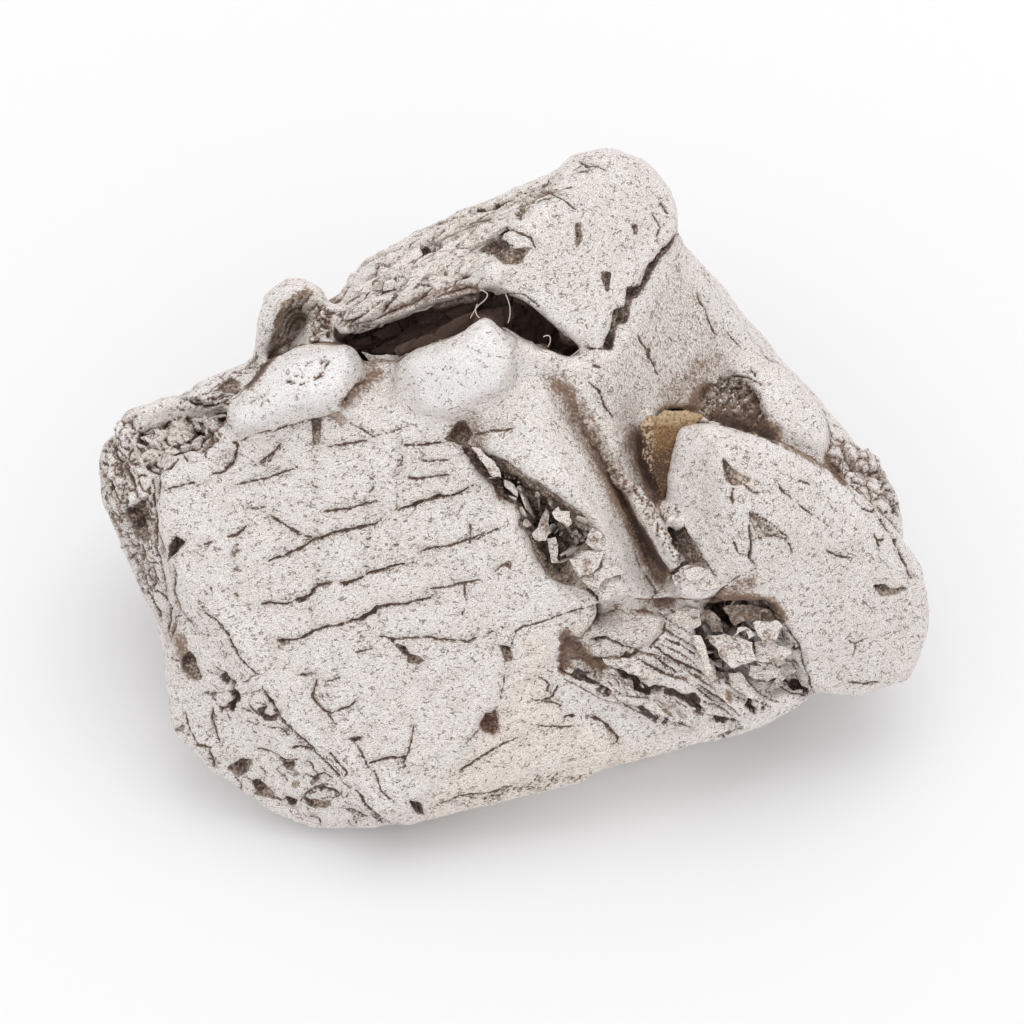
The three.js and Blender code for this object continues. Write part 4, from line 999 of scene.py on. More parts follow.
skin.tint("drab", skin.inside([(4.0, 3.0), (5.6, 3.2), (5.8, 0.0), (5.0, 0.2), (4.0, 2.2)], 0.5))
skin.pit([(6.5, -1.6), (6.8, -1.6), (7.2, -2.6), (7.0, -3.0), (6.7, -2.3)], 0.5, grime_and_shade=1.0)
skin.pit([(6.85, -1.75), (7.25, -1.5), (8.3, -3.4), (7.3, -3.2), (7.2, -2.6)], 0.25, grime_and_shade=0.55, rough=0.15)
skin.cut([(7.2, -1.5), (7.7, -2.4), (8.3, -3.3), (8.7, -3.9)], 0.16, 0.15)
skin.cut([(5.1, -2.6), (5.7, -3.6), (6.1, -4.3), (5.8, -4.9)], 0.16, 0.15)
skin.cut([(6.5, -3.9), (7.1, -3.2), (7.4, -3.1)], 0.3, 0.3)
RIB = [
    (2.3, 4.0), (3.0, 3.4), (3.9, 2.2), (4.6, 1.0), (5.4, 0.0), (6.2, -0.9), (7.1, -2.8), (6.8, -3.3),
    (6.0, -2.2), (5.1, -0.8), (4.3, 0.3), (3.7, 1.2), (2.9, 2.4),
]
rib = skin.inside(RIB, 0.25)
skin.height += 0.25 * rib
skin.crumble(rib, 0.28, 0.09, grime_and_shade=0.2)
skin.tint("drab", 0.35 * skin.inside(RIB, 0.1))
skin.keep_free_of_dirt_and_shade(0.8 * rib)

# The left edge: a crumbled pocket behind a laminated rim.
POCKET = [
    (-16.4, 1.5), (-16.3, 2.8), (-15.6, 2.9), (-14.2, 3.2), (-12.3, 3.3), (-12.3, 2.3), (-13.3, 1.5),
    (-14.6, 1.3), (-15.2, 0.7), (-15.9, 1.0),
]
pocket = skin.inside(POCKET, 0.3)
skin.layer(pocket, 35, 0.6, 0.3, grime_and_shade=0.45)
skin.crumble(pocket, 0.6, 0.25, degrees=35, stretch=(1.8, 0.7, 1), grime_and_shade=0.45)
skin.scratch(pocket, 24, 0.8, -25, 50, 0.12, 0.12, seed=76)
skin.welt([(-16.9, 1.2), (-16.9, 2.8), (-16.2, 3.4), (-15.0, 3.6), (-13.6, 3.7), (-12.4, 3.8)], 0.5, 0.35)
skin.welt([(-15.0, 0.2), (-15.0, 1.0), (-14.2, 1.5), (-13.3, 1.6)], 0.4, 0.25)
for depth, grime_and_shade, outline in [
    (0.50, 1.00, [(-14.1, 3.1), (-13.8, 2.9), (-13.5, 3.1), (-13.3, 2.6), (-13.7, 2.4), (-13.9, 2.8)]),
    (0.50, 1.00, [(-12.9, 3.3), (-12.3, 3.3), (-12.35, 2.8), (-12.7, 2.7), (-12.8, 3.0)]),
    (0.25, 0.70, [(-13.5, 2.3), (-12.8, 2.4), (-12.6, 2.1), (-13.1, 1.8), (-13.4, 1.9)]),
    (0.30, 0.75, [(-16.3, 2.6), (-15.9, 2.5), (-15.7, 1.8), (-15.9, 1.4), (-16.3, 1.9)]),
    (0.15, 0.55, [(-12.9, 4.3), (-12.3, 4.9), (-11.9, 4.7), (-11.9, 4.2)]),
]:
    skin.pit(outline, depth, grime_and_shade)
skin.cut([(-15.9, 1.1), (-15.5, 0.8), (-15.2, 0.7)], 0.25, 0.3)
skin.cut([(-15.2, 1.0), (-14.7, 1.5), (-14.2, 1.8), (-13.6, 2.3)], 0.16, 0.2)
skin.cut([(-14.4, 3.8), (-13.4, 3.65), (-12.3, 3.7), (-11.6, 4.1)], 0.14, 0.2)
skin.shade([(-11.4, 4.3), (-11.0, 4.8), (-10.6, 5.3), (-10.0, 5.9)], 0.4, 0.25, 1.0)
LEFT_RIM = [
    (-18.2, 1.2), (-17.2, 2.8), (-16.2, 3.8), (-16.2, 1.5), (-15.6, 0.5), (-15.3, -1.5), (-15.2, -4.5),
    (-16.4, -4.6), (-17.4, -2.0),
]
left_rim = skin.inside(LEFT_RIM, 0.3)
skin.tint("steep", 0.6 * left_rim)
skin.layer(left_rim, -60, 1.1, 0.25, grime_and_shade=0.35, seed=57)
skin.crumble(left_rim, 0.6, 0.12, grime_and_shade=0.25, seed=45)
skin.scratch(left_rim, 26, 0.8, -65, 45, 0.13, 0.12, seed=70, grime_and_shade=0.6)
skin.scratch(left_rim, 24, 0.4, -20, 60, 0.11, 0.08, seed=77, grime_and_shade=0.6)
for width, depth, route in [
    ((0.1, 0.3, 0.1), 0.25, [(-17.7, 0.7), (-17.4, 0.0), (-17.1, -0.5)]),
    (0.16, 0.16, [(-17.4, 2.0), (-17.0, 1.2), (-17.0, 0.5)]),
    (0.14, 0.14, [(-17.8, 0.2), (-17.5, -1.0), (-17.2, -1.8)]),
    ((0.12, 0.2, 0.14, 0.2), 0.3,
     [(-15.5, 0.6), (-15.5, -1.4), (-15.4, -2.6), (-15.1, -3.6), (-15.0, -4.6)]),
    (0.14, 0.14, [(-16.5, -2.4), (-16.1, -3.2), (-15.9, -4.0)]),
    (0.16, 0.16, [(-15.9, -4.3), (-15.4, -5.2), (-15.2, -5.7)]),
    (0.16, 0.16, [(-15.2, -4.4), (-14.8, -5.0), (-14.9, -6.2)]),
]:
    skin.cut(route, width, depth)
POCKET_RIM = [
    (-15.6, 3.0), (-15.3, 3.7), (-13.2, 5.0), (-11.4, 5.8), (-11.2, 4.4), (-12.3, 3.6), (-14.0, 3.4),
]
pocket_rim = skin.inside(POCKET_RIM, 0.3)
skin.tint("banded", 0.4 * pocket_rim)
skin.layer(pocket_rim, 20, 0.45, 0.15, grime_and_shade=0.4)
skin.scratch(pocket_rim, 24, 0.8, 22, 30, 0.12, 0.10, seed=71)

# The bulge under the face's left edge, coarse and scaly along the bottom.
BULGE = [
    (-14.9, -5.0), (-15.2, -8.0), (-15.0, -10.5), (-13.0, -12.4), (-10.5, -14.0), (-9.0, -14.8),
    (-5.6, -14.6), (-6.6, -13.2), (-8.8, -11.3), (-11.0, -8.3), (-13.4, -5.2),
]
bulge = skin.inside(BULGE, 0.6)
skin.height += bulge * (0.12 * roughness(skin.place, 1.1, 78, 2))
skin.scratch(bulge, 40, 0.7, -20, 60, 0.12, 0.08, seed=72, grime_and_shade=0.55)
skin.scratch(bulge, 70, 0.3, 20, 90, 0.10, 0.05, seed=73, grime_and_shade=0.5)
skin.chips(bulge, 12, 0.5, 0.15, 20, seed=79)

# The curled shell: pale outside, torn and dark within.
SHELL_MOUTH = [
    (-10.5, 6.6), (-10.3, 7.5), (-9.8, 8.1), (-9.1, 8.6), (-8.5, 8.4), (-8.2, 7.6), (-8.0, 6.5), (-9.2, 6.2),
    (-10.2, 5.6), (-11.3, 4.4), (-10.9, 4.9), (-10.7, 5.6),
]
mouth = skin.inside(SHELL_MOUTH, 0.15)
skin.layer(mouth, 55, 0.35, 0.2, grime_and_shade=0.3)
skin.tint("drab", 0.6 * mouth)
skin.keep_free_of_dirt_and_shade(0.7 * mouth)
# Painted shade inside the shell, under its upper left rim.
skin.shade([(-10.6, 6.2), (-10.4, 7.0), (-10.1, 7.8), (-9.6, 8.3), (-9.0, 8.65), (-8.5, 8.4)],
           0.05, 0.6, 0.5)
broken = skin.inside([(-8.9, 7.4), (-8.4, 8.2), (-7.7, 7.8), (-7.8, 6.4), (-8.8, 6.3)], 0.2)
skin.crumble(broken, 0.35, 0.2, grime_and_shade=0.6)

# The foot: a sandy band, flaked along its length, under a block that ends in a sharp dark step.
FOOT = [
    (0.0, -6.0), (1.8, -6.0), (1.8, -8.8), (2.6, -9.6), (4.6, -10.6), (7.5, -10.8), (12.5, -9.2),
    (12.8, -9.8), (9.0, -11.2), (3.2, -13.0), (-2.0, -14.3), (-4.5, -14.7), (-4.0, -13.4),
    (-2.2, -11.0), (-0.6, -9.0),
]
foot = skin.inside(FOOT, 0.6)
skin.tint("sand", foot)
skin.scratch(foot, 60, 0.4, 14, 50, 0.08, 0.03, seed=74, grime_and_shade=0.4)
flaked = skin.inside([(-3.4, -13.9), (-3.0, -13.2), (2.6, -12.2), (3.4, -12.7)], 0.1)
skin.scratch(flaked, 36, 0.5, 15, 60, 0.11, 0.08, seed=58, grime_and_shade=0.6)
for width, depth, route in [
    (0.14, 0.14, [(1.9, -8.3), (1.6, -8.9), (0.8, -9.1)]),
    (0.12, 0.08, [(0.8, -10.2), (2.0, -10.3), (2.7, -10.2)]),
    (0.18, 0.16, [(2.1, -10.1), (2.2, -9.75), (3.0, -9.65), (3.8, -10.0), (4.5, -10.7), (4.2, -10.95)]),
    (0.12, 0.10, [(2.1, -9.3), (1.7, -9.1), (1.0, -9.1)]),
    (0.14, 0.12, [(-3.4, -13.6), (-2.4, -13.2), (-1.0, -13.1), (0.4, -12.7)]),
    (0.12, 0.10, [(-2.6, -12.3), (-1.6, -11.6), (-0.6, -11.0), (0.4, -10.6)]),
    (0.12, 0.10, [(1.0, -8.0), (1.5, -8.3), (1.4, -8.7)]),
]:
    skin.cut(route, width, depth)
skin.shade([(4.0, -10.2), (4.5, -10.75), (4.1, -11.1)], 0.05, 0.4, 0.3)
skin.settle()

# The other sides are marked the same way: layered patches, cracks, pits and short scratches. They
# stop where the front's marks begin.
skin.front = skin.seen.copy()
for seed, (across, up, grain) in enumerate([
    ((-1, 0, 0), (0, 1, 0), 20), ((0, 0, -1), (0, 1, 0), 70), ((0, 0, 1), (0, 1, 0), -60),
    ((1, 0, 0), (0, 0, 1), 10), ((1, 0, 0), (0, 0, -1), 30),
], start=81):
    skin.look(RAGGED_SIDES, ANY_DEPTH, across, up)
    skin.seen &= skin.out @ skin.axes[2] > SIDE_ON
    side = skin.seen * 1.0
    torn = side * smooth(2.2 * rumple(skin.place, 6, seed) - 0.5)
    skin.layer(torn, grain, 0.6, 0.16, grime_and_shade=0.5, seed=seed)
    skin.scratch(side, 30, 2.4, grain, 15, 0.18, 0.14, seed)
    skin.scratch(side, 90, 0.7, grain + 70, 60, 0.10, 0.06, seed + 10, grime_and_shade=0.6)
    skin.chips(side, 26, 1.0, 0.25, grain, seed + 20)
    skin.settle()
skin.front[:] = False
skin.look(RAGGED, DEEPEST)

# Dirt and painted shade lie where the ground is low: in every notch, and down in the clefts, but not on
# the outer walls.
facing = smooth((skin.out[:, 2] + 0.3) / 0.3)
facing *= np.maximum(skin.inland(1.5), smooth((skin.out[:, 2] - 0.3) / 0.3))
for reach, start, span in ((0.35, 0.15, 0.7), (1.0, 0.6, 1.8)):
    deep = (skin.bridged(reach) - skin.place[:, 2] - start) / span
    skin.tint("grime_and_shade", 0.9 * smooth(deep) * facing * (1 - 0.75 * skin.clean))
    skin.tint("drab", smooth(2 * deep + 0.3) * facing)

# Dirt and painted shade lie in fine and broad notches alike: wherever the skin is lower than a worn
# copy of it, and than copies worn further still.
worn = skin.place.copy()
for passes, span in ((3, 0.03), (9, 0.08), (24, 0.18)):
    for _ in range(passes):
        worn = skin.around(worn)
    low = ((worn - skin.place) * skin.out).sum(axis=1)
    skin.tint("grime_and_shade", 0.75 * smooth(low / span - 0.35))


# The seat stays flat, whatever was done above it.
UPWARD = np.array([0, math.sin(LEAN), math.cos(LEAN)])


def seated(points):
    """The points, with any that sank below the seat brought back up to it."""
    sunk = np.minimum(points @ UPWARD + FACE_MIDDLE[2], 0)
    return points - sunk[:, None] * UPWARD


skin.place = seated(skin.place)
skin.refresh()


def thinned(skin, obj):
    """Keeps the tints, and takes points away: most of them from the back."""
    for name, amount in skin.tints.items():
        column = obj.data.attributes.new(name, "FLOAT", "POINT")
        column.data.foreach_set("value", amount.astype(np.float32))
    marked = smooth((skin.out[:, 2] + 0.15) / 0.3)
    kept = obj.vertex_groups.new(name="marked")
    for tenth in range(1, 11):
        chosen = np.nonzero(np.round(marked * 10) == tenth)[0]
        kept.add(chosen.tolist(), tenth / 10, "REPLACE")
    skin_triangles = 2 * len(skin.place)
    plain = 2 * np.count_nonzero(marked < 0.5)
    first = obj.modifiers.new("thin_back", "DECIMATE")
    first.vertex_group = "marked"
    first.invert_vertex_group = True
    first.vertex_group_factor = 3
    first.use_collapse_triangulate = True
    first.ratio = (skin_triangles - plain + BACK_TRIANGLES) / skin_triangles
    applied(obj)
    second = obj.modifiers.new("thin_all", "DECIMATE")
    second.use_collapse_triangulate = True
    second.ratio = TRIANGLES / len(obj.data.polygons)
    applied(obj)


thinned(skin, lump)
lump.vertex_groups.clear()
lump.data.shade_smooth()
lump.data.transform(FACE)
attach(lump, "root")
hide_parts("meteorite")


class Finish:
    """A material's nodes, laid from left to right."""

    def __init__(self, name):
        self.material = bpy.data.materials.new(name)
        self.material.use_nodes = True
        self.tree = self.material.node_tree
        self.shader = self.tree.nodes["Principled BSDF"]
        place = self.add("TexCoord").outputs["Object"]
        self.on_face = self.add(
            "Mapping", ("Vector", place), ("Scale", (1 / MM,) * 3), ("Rotation", (-LEAN, 0, 0)),
            ("Location", -(LEANING.inverted() @ FACE_MIDDLE)),
        ).outputs[0]

    def add(self, kind, *inputs, **settings):
        """A node of that kind. inputs are (socket, value or another node's output)."""
        node = self.tree.nodes.new("ShaderNode" + kind)
        for name, value in settings.items():
            setattr(node, name, value)
        for socket, value in inputs:
            self.feed(node.inputs[socket], value)
        return node

    def feed(self, socket, value):
        """Sets a socket to a value, or links another node's output to it."""
        if isinstance(value, bpy.types.NodeSocket):
            self.tree.links.new(value, socket)
        else:
            socket.default_value = value

    def mix(self, share, under, over):
        """under, with over laid on it by share."""
        node = self.add("Mix", data_type="RGBA")
        self.feed(node.inputs["Factor"], share)
        self.feed(node.inputs[6], under)
        self.feed(node.inputs[7], over)
        return node.outputs[2]

    def calc(self, operation, first, *others):
        """The values put together by one operation, from left to right."""
        for other in others:
            first = self.add("Math", (0, first), (1, other), operation=operation).outputs[0]
        return first

    def times(self, first, *others):
        return self.calc("MULTIPLY", first, *others)

    def laid(self, colour, over, *shares):
        """The colour, with another laid on it by the product of the shares."""
        return self.mix(self.times(*shares), colour, over)

    def ramp(self, value, low, high):
        """0 below low and 1 above high; the other way round when low is the greater."""
        if low > high:
            return self.calc("SUBTRACT", 1, self.ramp(value, high, low))
        sockets = (("Value", value), ("From Min", low), ("From Max", high))
        return self.add("MapRange", *sockets, interpolation_type="SMOOTHSTEP").outputs["Result"]

    def shifted(self, value, amount, noise):
        """The value moved up and down by a noise, `amount` from its middle to its ends."""
        return self.calc("ADD", value, self.times(self.calc("SUBTRACT", noise, 0.5), 2 * amount))

    def grain(self, size, detail, stretch=1, degrees=0, roughness=0.6):
        """Noise with lumps `size` millimetres across, drawn out along a direction on the face."""
        put = self.add(
            "Mapping", ("Vector", self.on_face), ("Rotation", (0, 0, math.radians(degrees))),
            ("Scale", (size * stretch, size, size)), vector_type="TEXTURE",
        )
        sockets = (("Vector", put.outputs[0]), ("Scale", 1), ("Detail", detail), ("Roughness", roughness))
        return self.add("TexNoise", *sockets).outputs["Fac"]

    def lines(self, noise, width):
        """The contour lines of a noise: 1 on them."""
        off = self.calc("ABSOLUTE", self.calc("SUBTRACT", noise, 0.5), 0)
        return self.ramp(self.calc("DIVIDE", off, width), 1.2, 0.5)


# The iron's colours, from the bare metal to the dirt and painted shade in its pits.
METAL = (0.79, 0.73, 0.695, 1)
PALE_METAL = (0.83, 0.79, 0.77, 1)
BARE_METAL = (0.84, 0.82, 0.825, 1)
SANDY = (0.84, 0.72, 0.62, 1)
DRAB = (0.56, 0.475, 0.40, 1)
DARK_GRAIN = (0.36, 0.29, 0.25, 1)
PALE_GRAIN_AND_GLINT = (1.0, 0.985, 0.97, 1)
SPECK = (0.30, 0.225, 0.185, 1)
STROKE = (0.20, 0.14, 0.11, 1)
SHADE_AND_DIRT = (0.25, 0.165, 0.115, 1)
DARK_SHADE_AND_DIRT = (0.095, 0.055, 0.042, 1)
FILLING = (0.46, 0.38, 0.31, 1)
BROWN_FILLING = (0.20, 0.135, 0.10, 1)
BLACK_FILLING = (0.06, 0.035, 0.03, 1)
PIT_EDGE = (0.07, 0.045, 0.04, 1)
HAIR_CRACK = (0.13, 0.09, 0.075, 1)
RUST = (0.24, 0.095, 0.05, 1)


def iron_finish():
    iron = Finish("meteoritic_iron")
    tint = {name: iron.add("Attribute", attribute_name=name).outputs["Fac"] for name in skin.tints}
    clouds = iron.grain(1.6, 3)
    patch = iron.grain(0.5, 2)
    sand = iron.grain(0.05, 0)
    coarse = iron.grain(0.13, 1)
    parts = iron.grain(0.24, 1)

    # The pale metal, with its colour in clouds, and a fine sand of dark specks and pale flecks all over;
    # the pale flecks are partly painted glints of the metal.
    colour = iron.mix(iron.ramp(clouds, 0.35, 0.65), METAL, PALE_METAL)
    colour = iron.laid(colour, SANDY, tint["sand"], 0.55)
    colour = iron.laid(colour, DRAB, tint["drab"], 0.36)
    colour = iron.laid(colour, BARE_METAL, tint["bare"], 0.7)
    more = iron.calc("SUBTRACT", tint["drab"], iron.times(tint["bare"], 0.8))
    dark_sand = iron.ramp(iron.calc("ADD", sand, iron.times(more, 0.05)), 0.54, 0.66)
    colour = iron.laid(colour, DARK_GRAIN, dark_sand, 0.42)
    colour = iron.laid(colour, PALE_GRAIN_AND_GLINT, iron.ramp(sand, 0.46, 0.34), 0.55)

    # Short specks, along the grain of each part of the surface, and fine wandering lines.
    banded = tint["banded"]
    rising = iron.mix(banded, iron.grain(0.036, 0, 5, 15), iron.grain(0.09, 1, 8, 27))
    falling = iron.mix(banded, iron.grain(0.036, 0, 5, -33), iron.grain(0.09, 1, 8, -37))
    streak = iron.mix(tint["steep"], rising, iron.grain(0.038, 0, 5, -72))
    streak = iron.mix(tint["falling"], streak, falling)
    thick = iron.calc("ADD", streak, iron.times(more, 0.065), iron.times(banded, 0.03))
    thick = iron.calc("ADD", thick, iron.times(tint["steep"], 0.025))
    thick = iron.calc("SUBTRACT", iron.shifted(thick, 0.025, patch), iron.times(tint["bare"], 0.05))
    specks = iron.ramp(thick, 0.635, 0.70)
    strength = iron.calc("ADD", iron.times(tint["steep"], 0.2), 0.5)
    colour = iron.laid(colour, SPECK, specks, strength)
    wandering = iron.lines(iron.grain(0.3, 2, 1.6, 15), 0.024)
    there = iron.calc("ADD", parts, iron.times(more, 0.06))
    strokes = iron.times(wandering, iron.ramp(there, 0.53, 0.56))
    colour = iron.laid(colour, STROKE, strokes, 0.8)

    # Soft dirt and painted shade, which the sand breaks up where they thin out.
    edge = iron.shifted(iron.shifted(iron.shifted(tint["grime_and_shade"], 0.45, coarse), 0.2, patch), 0.25, clouds)
    colour = iron.laid(colour, SHADE_AND_DIRT, iron.ramp(edge, 0.1, 0.55))
    colour = iron.laid(colour, DARK_SHADE_AND_DIRT, iron.ramp(edge, 0.5, 1.0))

    # Pits with crisp edges, their fill darkest on its upper left side as painted shade, and hair cracks
    # along the bottoms of the grooves.
    brink = iron.shifted(tint["brink"], 0.07, coarse)
    held = iron.times(iron.ramp(brink, 0.01, -0.03), iron.ramp(tint["fill"], 0.0, 0.3))
    dark = iron.shifted(iron.shifted(tint["fill"], 1.0, coarse), 0.3, patch)
    filling = iron.mix(iron.ramp(dark, 0.2, 0.6), FILLING, BROWN_FILLING)
    filling = iron.mix(iron.ramp(dark, 0.6, 1.05), filling, BLACK_FILLING)
    colour = iron.laid(colour, filling, held, 0.95)
    rim = iron.times(iron.ramp(brink, -0.09, -0.04), iron.ramp(brink, 0.03, 0.0), tint["fill"])
    colour = iron.laid(colour, PIT_EDGE, rim, 0.7)
    aside = iron.calc("ABSOLUTE", iron.shifted(tint["split"], 0.10, coarse), 0)
    reach = iron.shifted(iron.shifted(tint["line"], 0.5, patch), 0.8, coarse)
    hair = iron.ramp(iron.calc("SUBTRACT", aside, iron.times(reach, 0.024)), 0.012, -0.012)
    hair = iron.times(hair, iron.ramp(tint["line"], 0.0, 1.1))
    colour = iron.laid(colour, HAIR_CRACK, hair, 0.85)
    rusty = iron.ramp(iron.shifted(tint["rust"], 0.35, coarse), 0.25, 1.1)
    colour = iron.laid(colour, RUST, rusty, 0.6)
    iron.feed(iron.shader.inputs["Base Color"], colour)

    dirty = iron.calc("MAXIMUM", iron.ramp(edge, 0.1, 0.6), held, rusty)
    bright = iron.calc("SUBTRACT", 1, dirty)
    iron.feed(iron.shader.inputs["Metallic"], iron.times(bright, 0.3))
    iron.feed(iron.shader.inputs["Roughness"], iron.calc("SUBTRACT", 0.82, iron.times(bright, 0.27)))

    relief = iron.calc("ADD", patch, iron.times(sand, -0.8))
    relief = iron.calc("SUBTRACT", relief, iron.times(strokes, 0.5), hair)
    bump = iron.add("Bump", ("Height", relief), ("Strength", 0.8), ("Distance", 0.05 * MM))
    iron.feed(iron.shader.inputs["Normal"], bump.outputs[0])
    return iron.material


iron_material = iron_finish()
lump.data.materials.clear()
lump.data.materials.append(iron_material)

# --- Torn flakes --------------------------------------------------------------------------------
# Slivers, plates and crumbs of the same iron that stand half loose in its clefts: blades in the
# cavity, thin plates under the nose, splinters in the pocket, sheets along the block's rim.

# The sand tone on every scrap also stands in for warm light bounced into the clefts: painted bounce light.
SCRAP_SAND_AND_BOUNCE = 0.5  # how sandy every scrap is
SLIVER_POINTS = 14  # the cloud of points that a sliver's hull is wrapped round
PLATE_GRAIN = 0.22  # the longest edge that is left in a plate
seen_flat = skin.flat[skin.seen]
seen_ground = skin.place[skin.seen, 2]


def ground_at(spot, reach=0.3):
    """How high the iron stands at a spot of the face: its top within `reach`."""
    off = np.abs(seen_flat - spot).max(axis=1)
    return seen_ground[off < reach].mean() if (off < reach).any() else seen_ground[off.argmin()]


def scattered(rng, outline, count):
    """Spots spread at random over an outline on the face."""
    corners = np.array(outline, float)
    spots = []
    while len(spots) < count:
        spot = rng.uniform(corners.min(0), corners.max(0))
        turns = 0
        for start, end in zip(corners, np.roll(corners, -1, axis=0)):
            if (start[1] > spot[1]) != (end[1] > spot[1]):
                share = (spot[1] - start[1]) / (end[1] - start[1])
                turns += spot[0] < start[0] + share * (end[0] - start[0])
        if turns % 2:
            spots.append(spot)
    return spots


def drawn(rng, value):
    """The value itself, or a random one where it is a range (low, high)."""
    return rng.uniform(*value) if isinstance(value, tuple) else value


class Scraps:
    """Loose pieces of iron gathered in one mesh, each point with its own dirt and painted shade."""

    def __init__(self, rng):
        self.rng = rng
        self.bm = bmesh.new()
        self.layers = {name: self.bm.verts.layers.float.new(name) for name in ("grime_and_shade", "drab", "sand")}

    def stain_and_shade(self, vert, grime_and_shade, drab):
        vert[self.layers["grime_and_shade"]] = grime_and_shade
        vert[self.layers["drab"]] = drab
        vert[self.layers["sand"]] = SCRAP_SAND_AND_BOUNCE

    def sliver(self, spot, size, turn, tilt, sunk=0.4, foot=0.9, top=0.0, drab=0.3):
        """A broken sliver (length, width, thickness), turned on the face and tipped up out of it.
        Its dirt and painted shade is `foot` at its lowest points and `top` at its highest."""
        cloud = self.rng.uniform(-1, 1, (SLIVER_POINTS, 3))
        cloud *= 1 / np.maximum(np.linalg.norm(cloud, axis=1), 0.6)[:, None]
        points = [self.bm.verts.new(point * np.array(size) / 2) for point in cloud]
        hull = bmesh.ops.convex_hull(self.bm, input=points)
        inner = set(hull["geom_interior"] + hull["geom_unused"])
        bmesh.ops.delete(self.bm, geom=[vert for vert in points if vert in inner], context="VERTS")
        verts = [vert for vert in points if vert.is_valid]
        level = ground_at(spot, min(0.3, size[0] / 2))
        place = Matrix.Translation((*spot, level + (0.5 - sunk) * size[2]))
        tipped = Matrix.Rotation(math.radians(turn), 4, "Z")
        tipped = tipped @ Matrix.Rotation(-math.radians(tilt[0]), 4, "Y")
        tipped = tipped @ Matrix.Rotation(math.radians(tilt[1]), 4, "X")
        bmesh.ops.transform(self.bm, matrix=place @ tipped, verts=verts)
        # Painted shade with dirt, heavy at the foot and thinning to the top.
        levels = [vert.co.z for vert in verts]
        low, high = min(levels), max(levels)
        for vert in verts:
            share = min(1, 1.8 * (vert.co.z - low) / (high - low))
            self.stain_and_shade(vert, foot + (top - foot) * share, drab)

    def strew(self, outline, count, size, turn, tilt, sunk=0.4, foot=0.9, top=0.0, drab=0.3):
        """Slivers strewn over an outline. Where a value is a range, each draws its own from it."""
        for spot in scattered(self.rng, outline, count):
            own_size = [drawn(self.rng, side) for side in size]
            own_turn = drawn(self.rng, turn)
            own_tilt = [drawn(self.rng, angle) for angle in tilt]
            self.sliver(spot, own_size, own_turn, own_tilt, sunk, foot, drawn(self.rng, top), drab)

    def plate(self, outline, thick, lift, tilt, seed, foot=0.8, top=0.0, drab=0.35):
        """A thin torn sheet with a given outline, tipped and a little buckled."""
        sheet = bmesh.new()
        points = np.array(outline, float)
        middle = points.mean(0)
        face = sheet.faces.new([sheet.verts.new((*point, 0)) for point in points - middle])
        grown = bmesh.ops.extrude_face_region(sheet, geom=[face])["geom"]
        upper = [item for item in grown if isinstance(item, bmesh.types.BMVert)]
        bmesh.ops.translate(sheet, vec=(0, 0, thick), verts=upper)
        bmesh.ops.triangulate(sheet, faces=sheet.faces[:])
        for _ in range(3):
            edges = [edge for edge in sheet.edges if edge.calc_length() > PLATE_GRAIN]
            bmesh.ops.subdivide_edges(sheet, edges=edges, cuts=1)
            bmesh.ops.triangulate(sheet, faces=sheet.faces[:])
        bmesh.ops.recalc_face_normals(sheet, faces=sheet.faces[:])
        spots = np.array([vert.co for vert in sheet.verts])
        wave = 0.14 * roughness(spots * (1, 1, 0.3), 0.7, seed, 3)
        stray = 0.09 * np.stack([roughness(spots * (1, 1, 0.4), 0.35, seed + n, 2) for n in (3, 4)], axis=1)
        dirt = 0.6 * rumple(spots, 0.5, seed + 5)
        level = ground_at(middle, 0.6) + lift
        for vert, spot, rise, aside in zip(sheet.verts, spots, wave, stray):
            height = level + spot[2] + rise + tilt[0] * spot[0] + tilt[1] * spot[1]
            vert.co = (*(middle + spot[:2] + aside), height)
        mesh = bpy.data.meshes.new("sheet")
        sheet.to_mesh(mesh)
        sheet.free()
        first = len(self.bm.verts)
        self.bm.from_mesh(mesh)
        bpy.data.meshes.remove(mesh)
        self.bm.verts.ensure_lookup_table()
        # Painted shade with dirt on its underside and lower sides, pale on top, with patches of dirt.
        for vert, spot, patch in zip(self.bm.verts[first:], spots, dirt):
            self.stain_and_shade(vert, max(foot + (top - foot) * spot[2] / thick, patch), drab)


rng = np.random.default_rng(91)
scraps = Scraps(rng)

# The cavity: crumbs over its floor, blades that stand up out of it, and torn plates round them.
CAVITY_FLOOR = [
    (-1.7, 1.5), (-0.6, 0.8), (0.6, 0.0), (1.6, -0.7), (2.6, -1.6), (2.0, -2.8), (1.2, -2.8), (0.6, -1.6),
    (-0.6, 0.0),
]
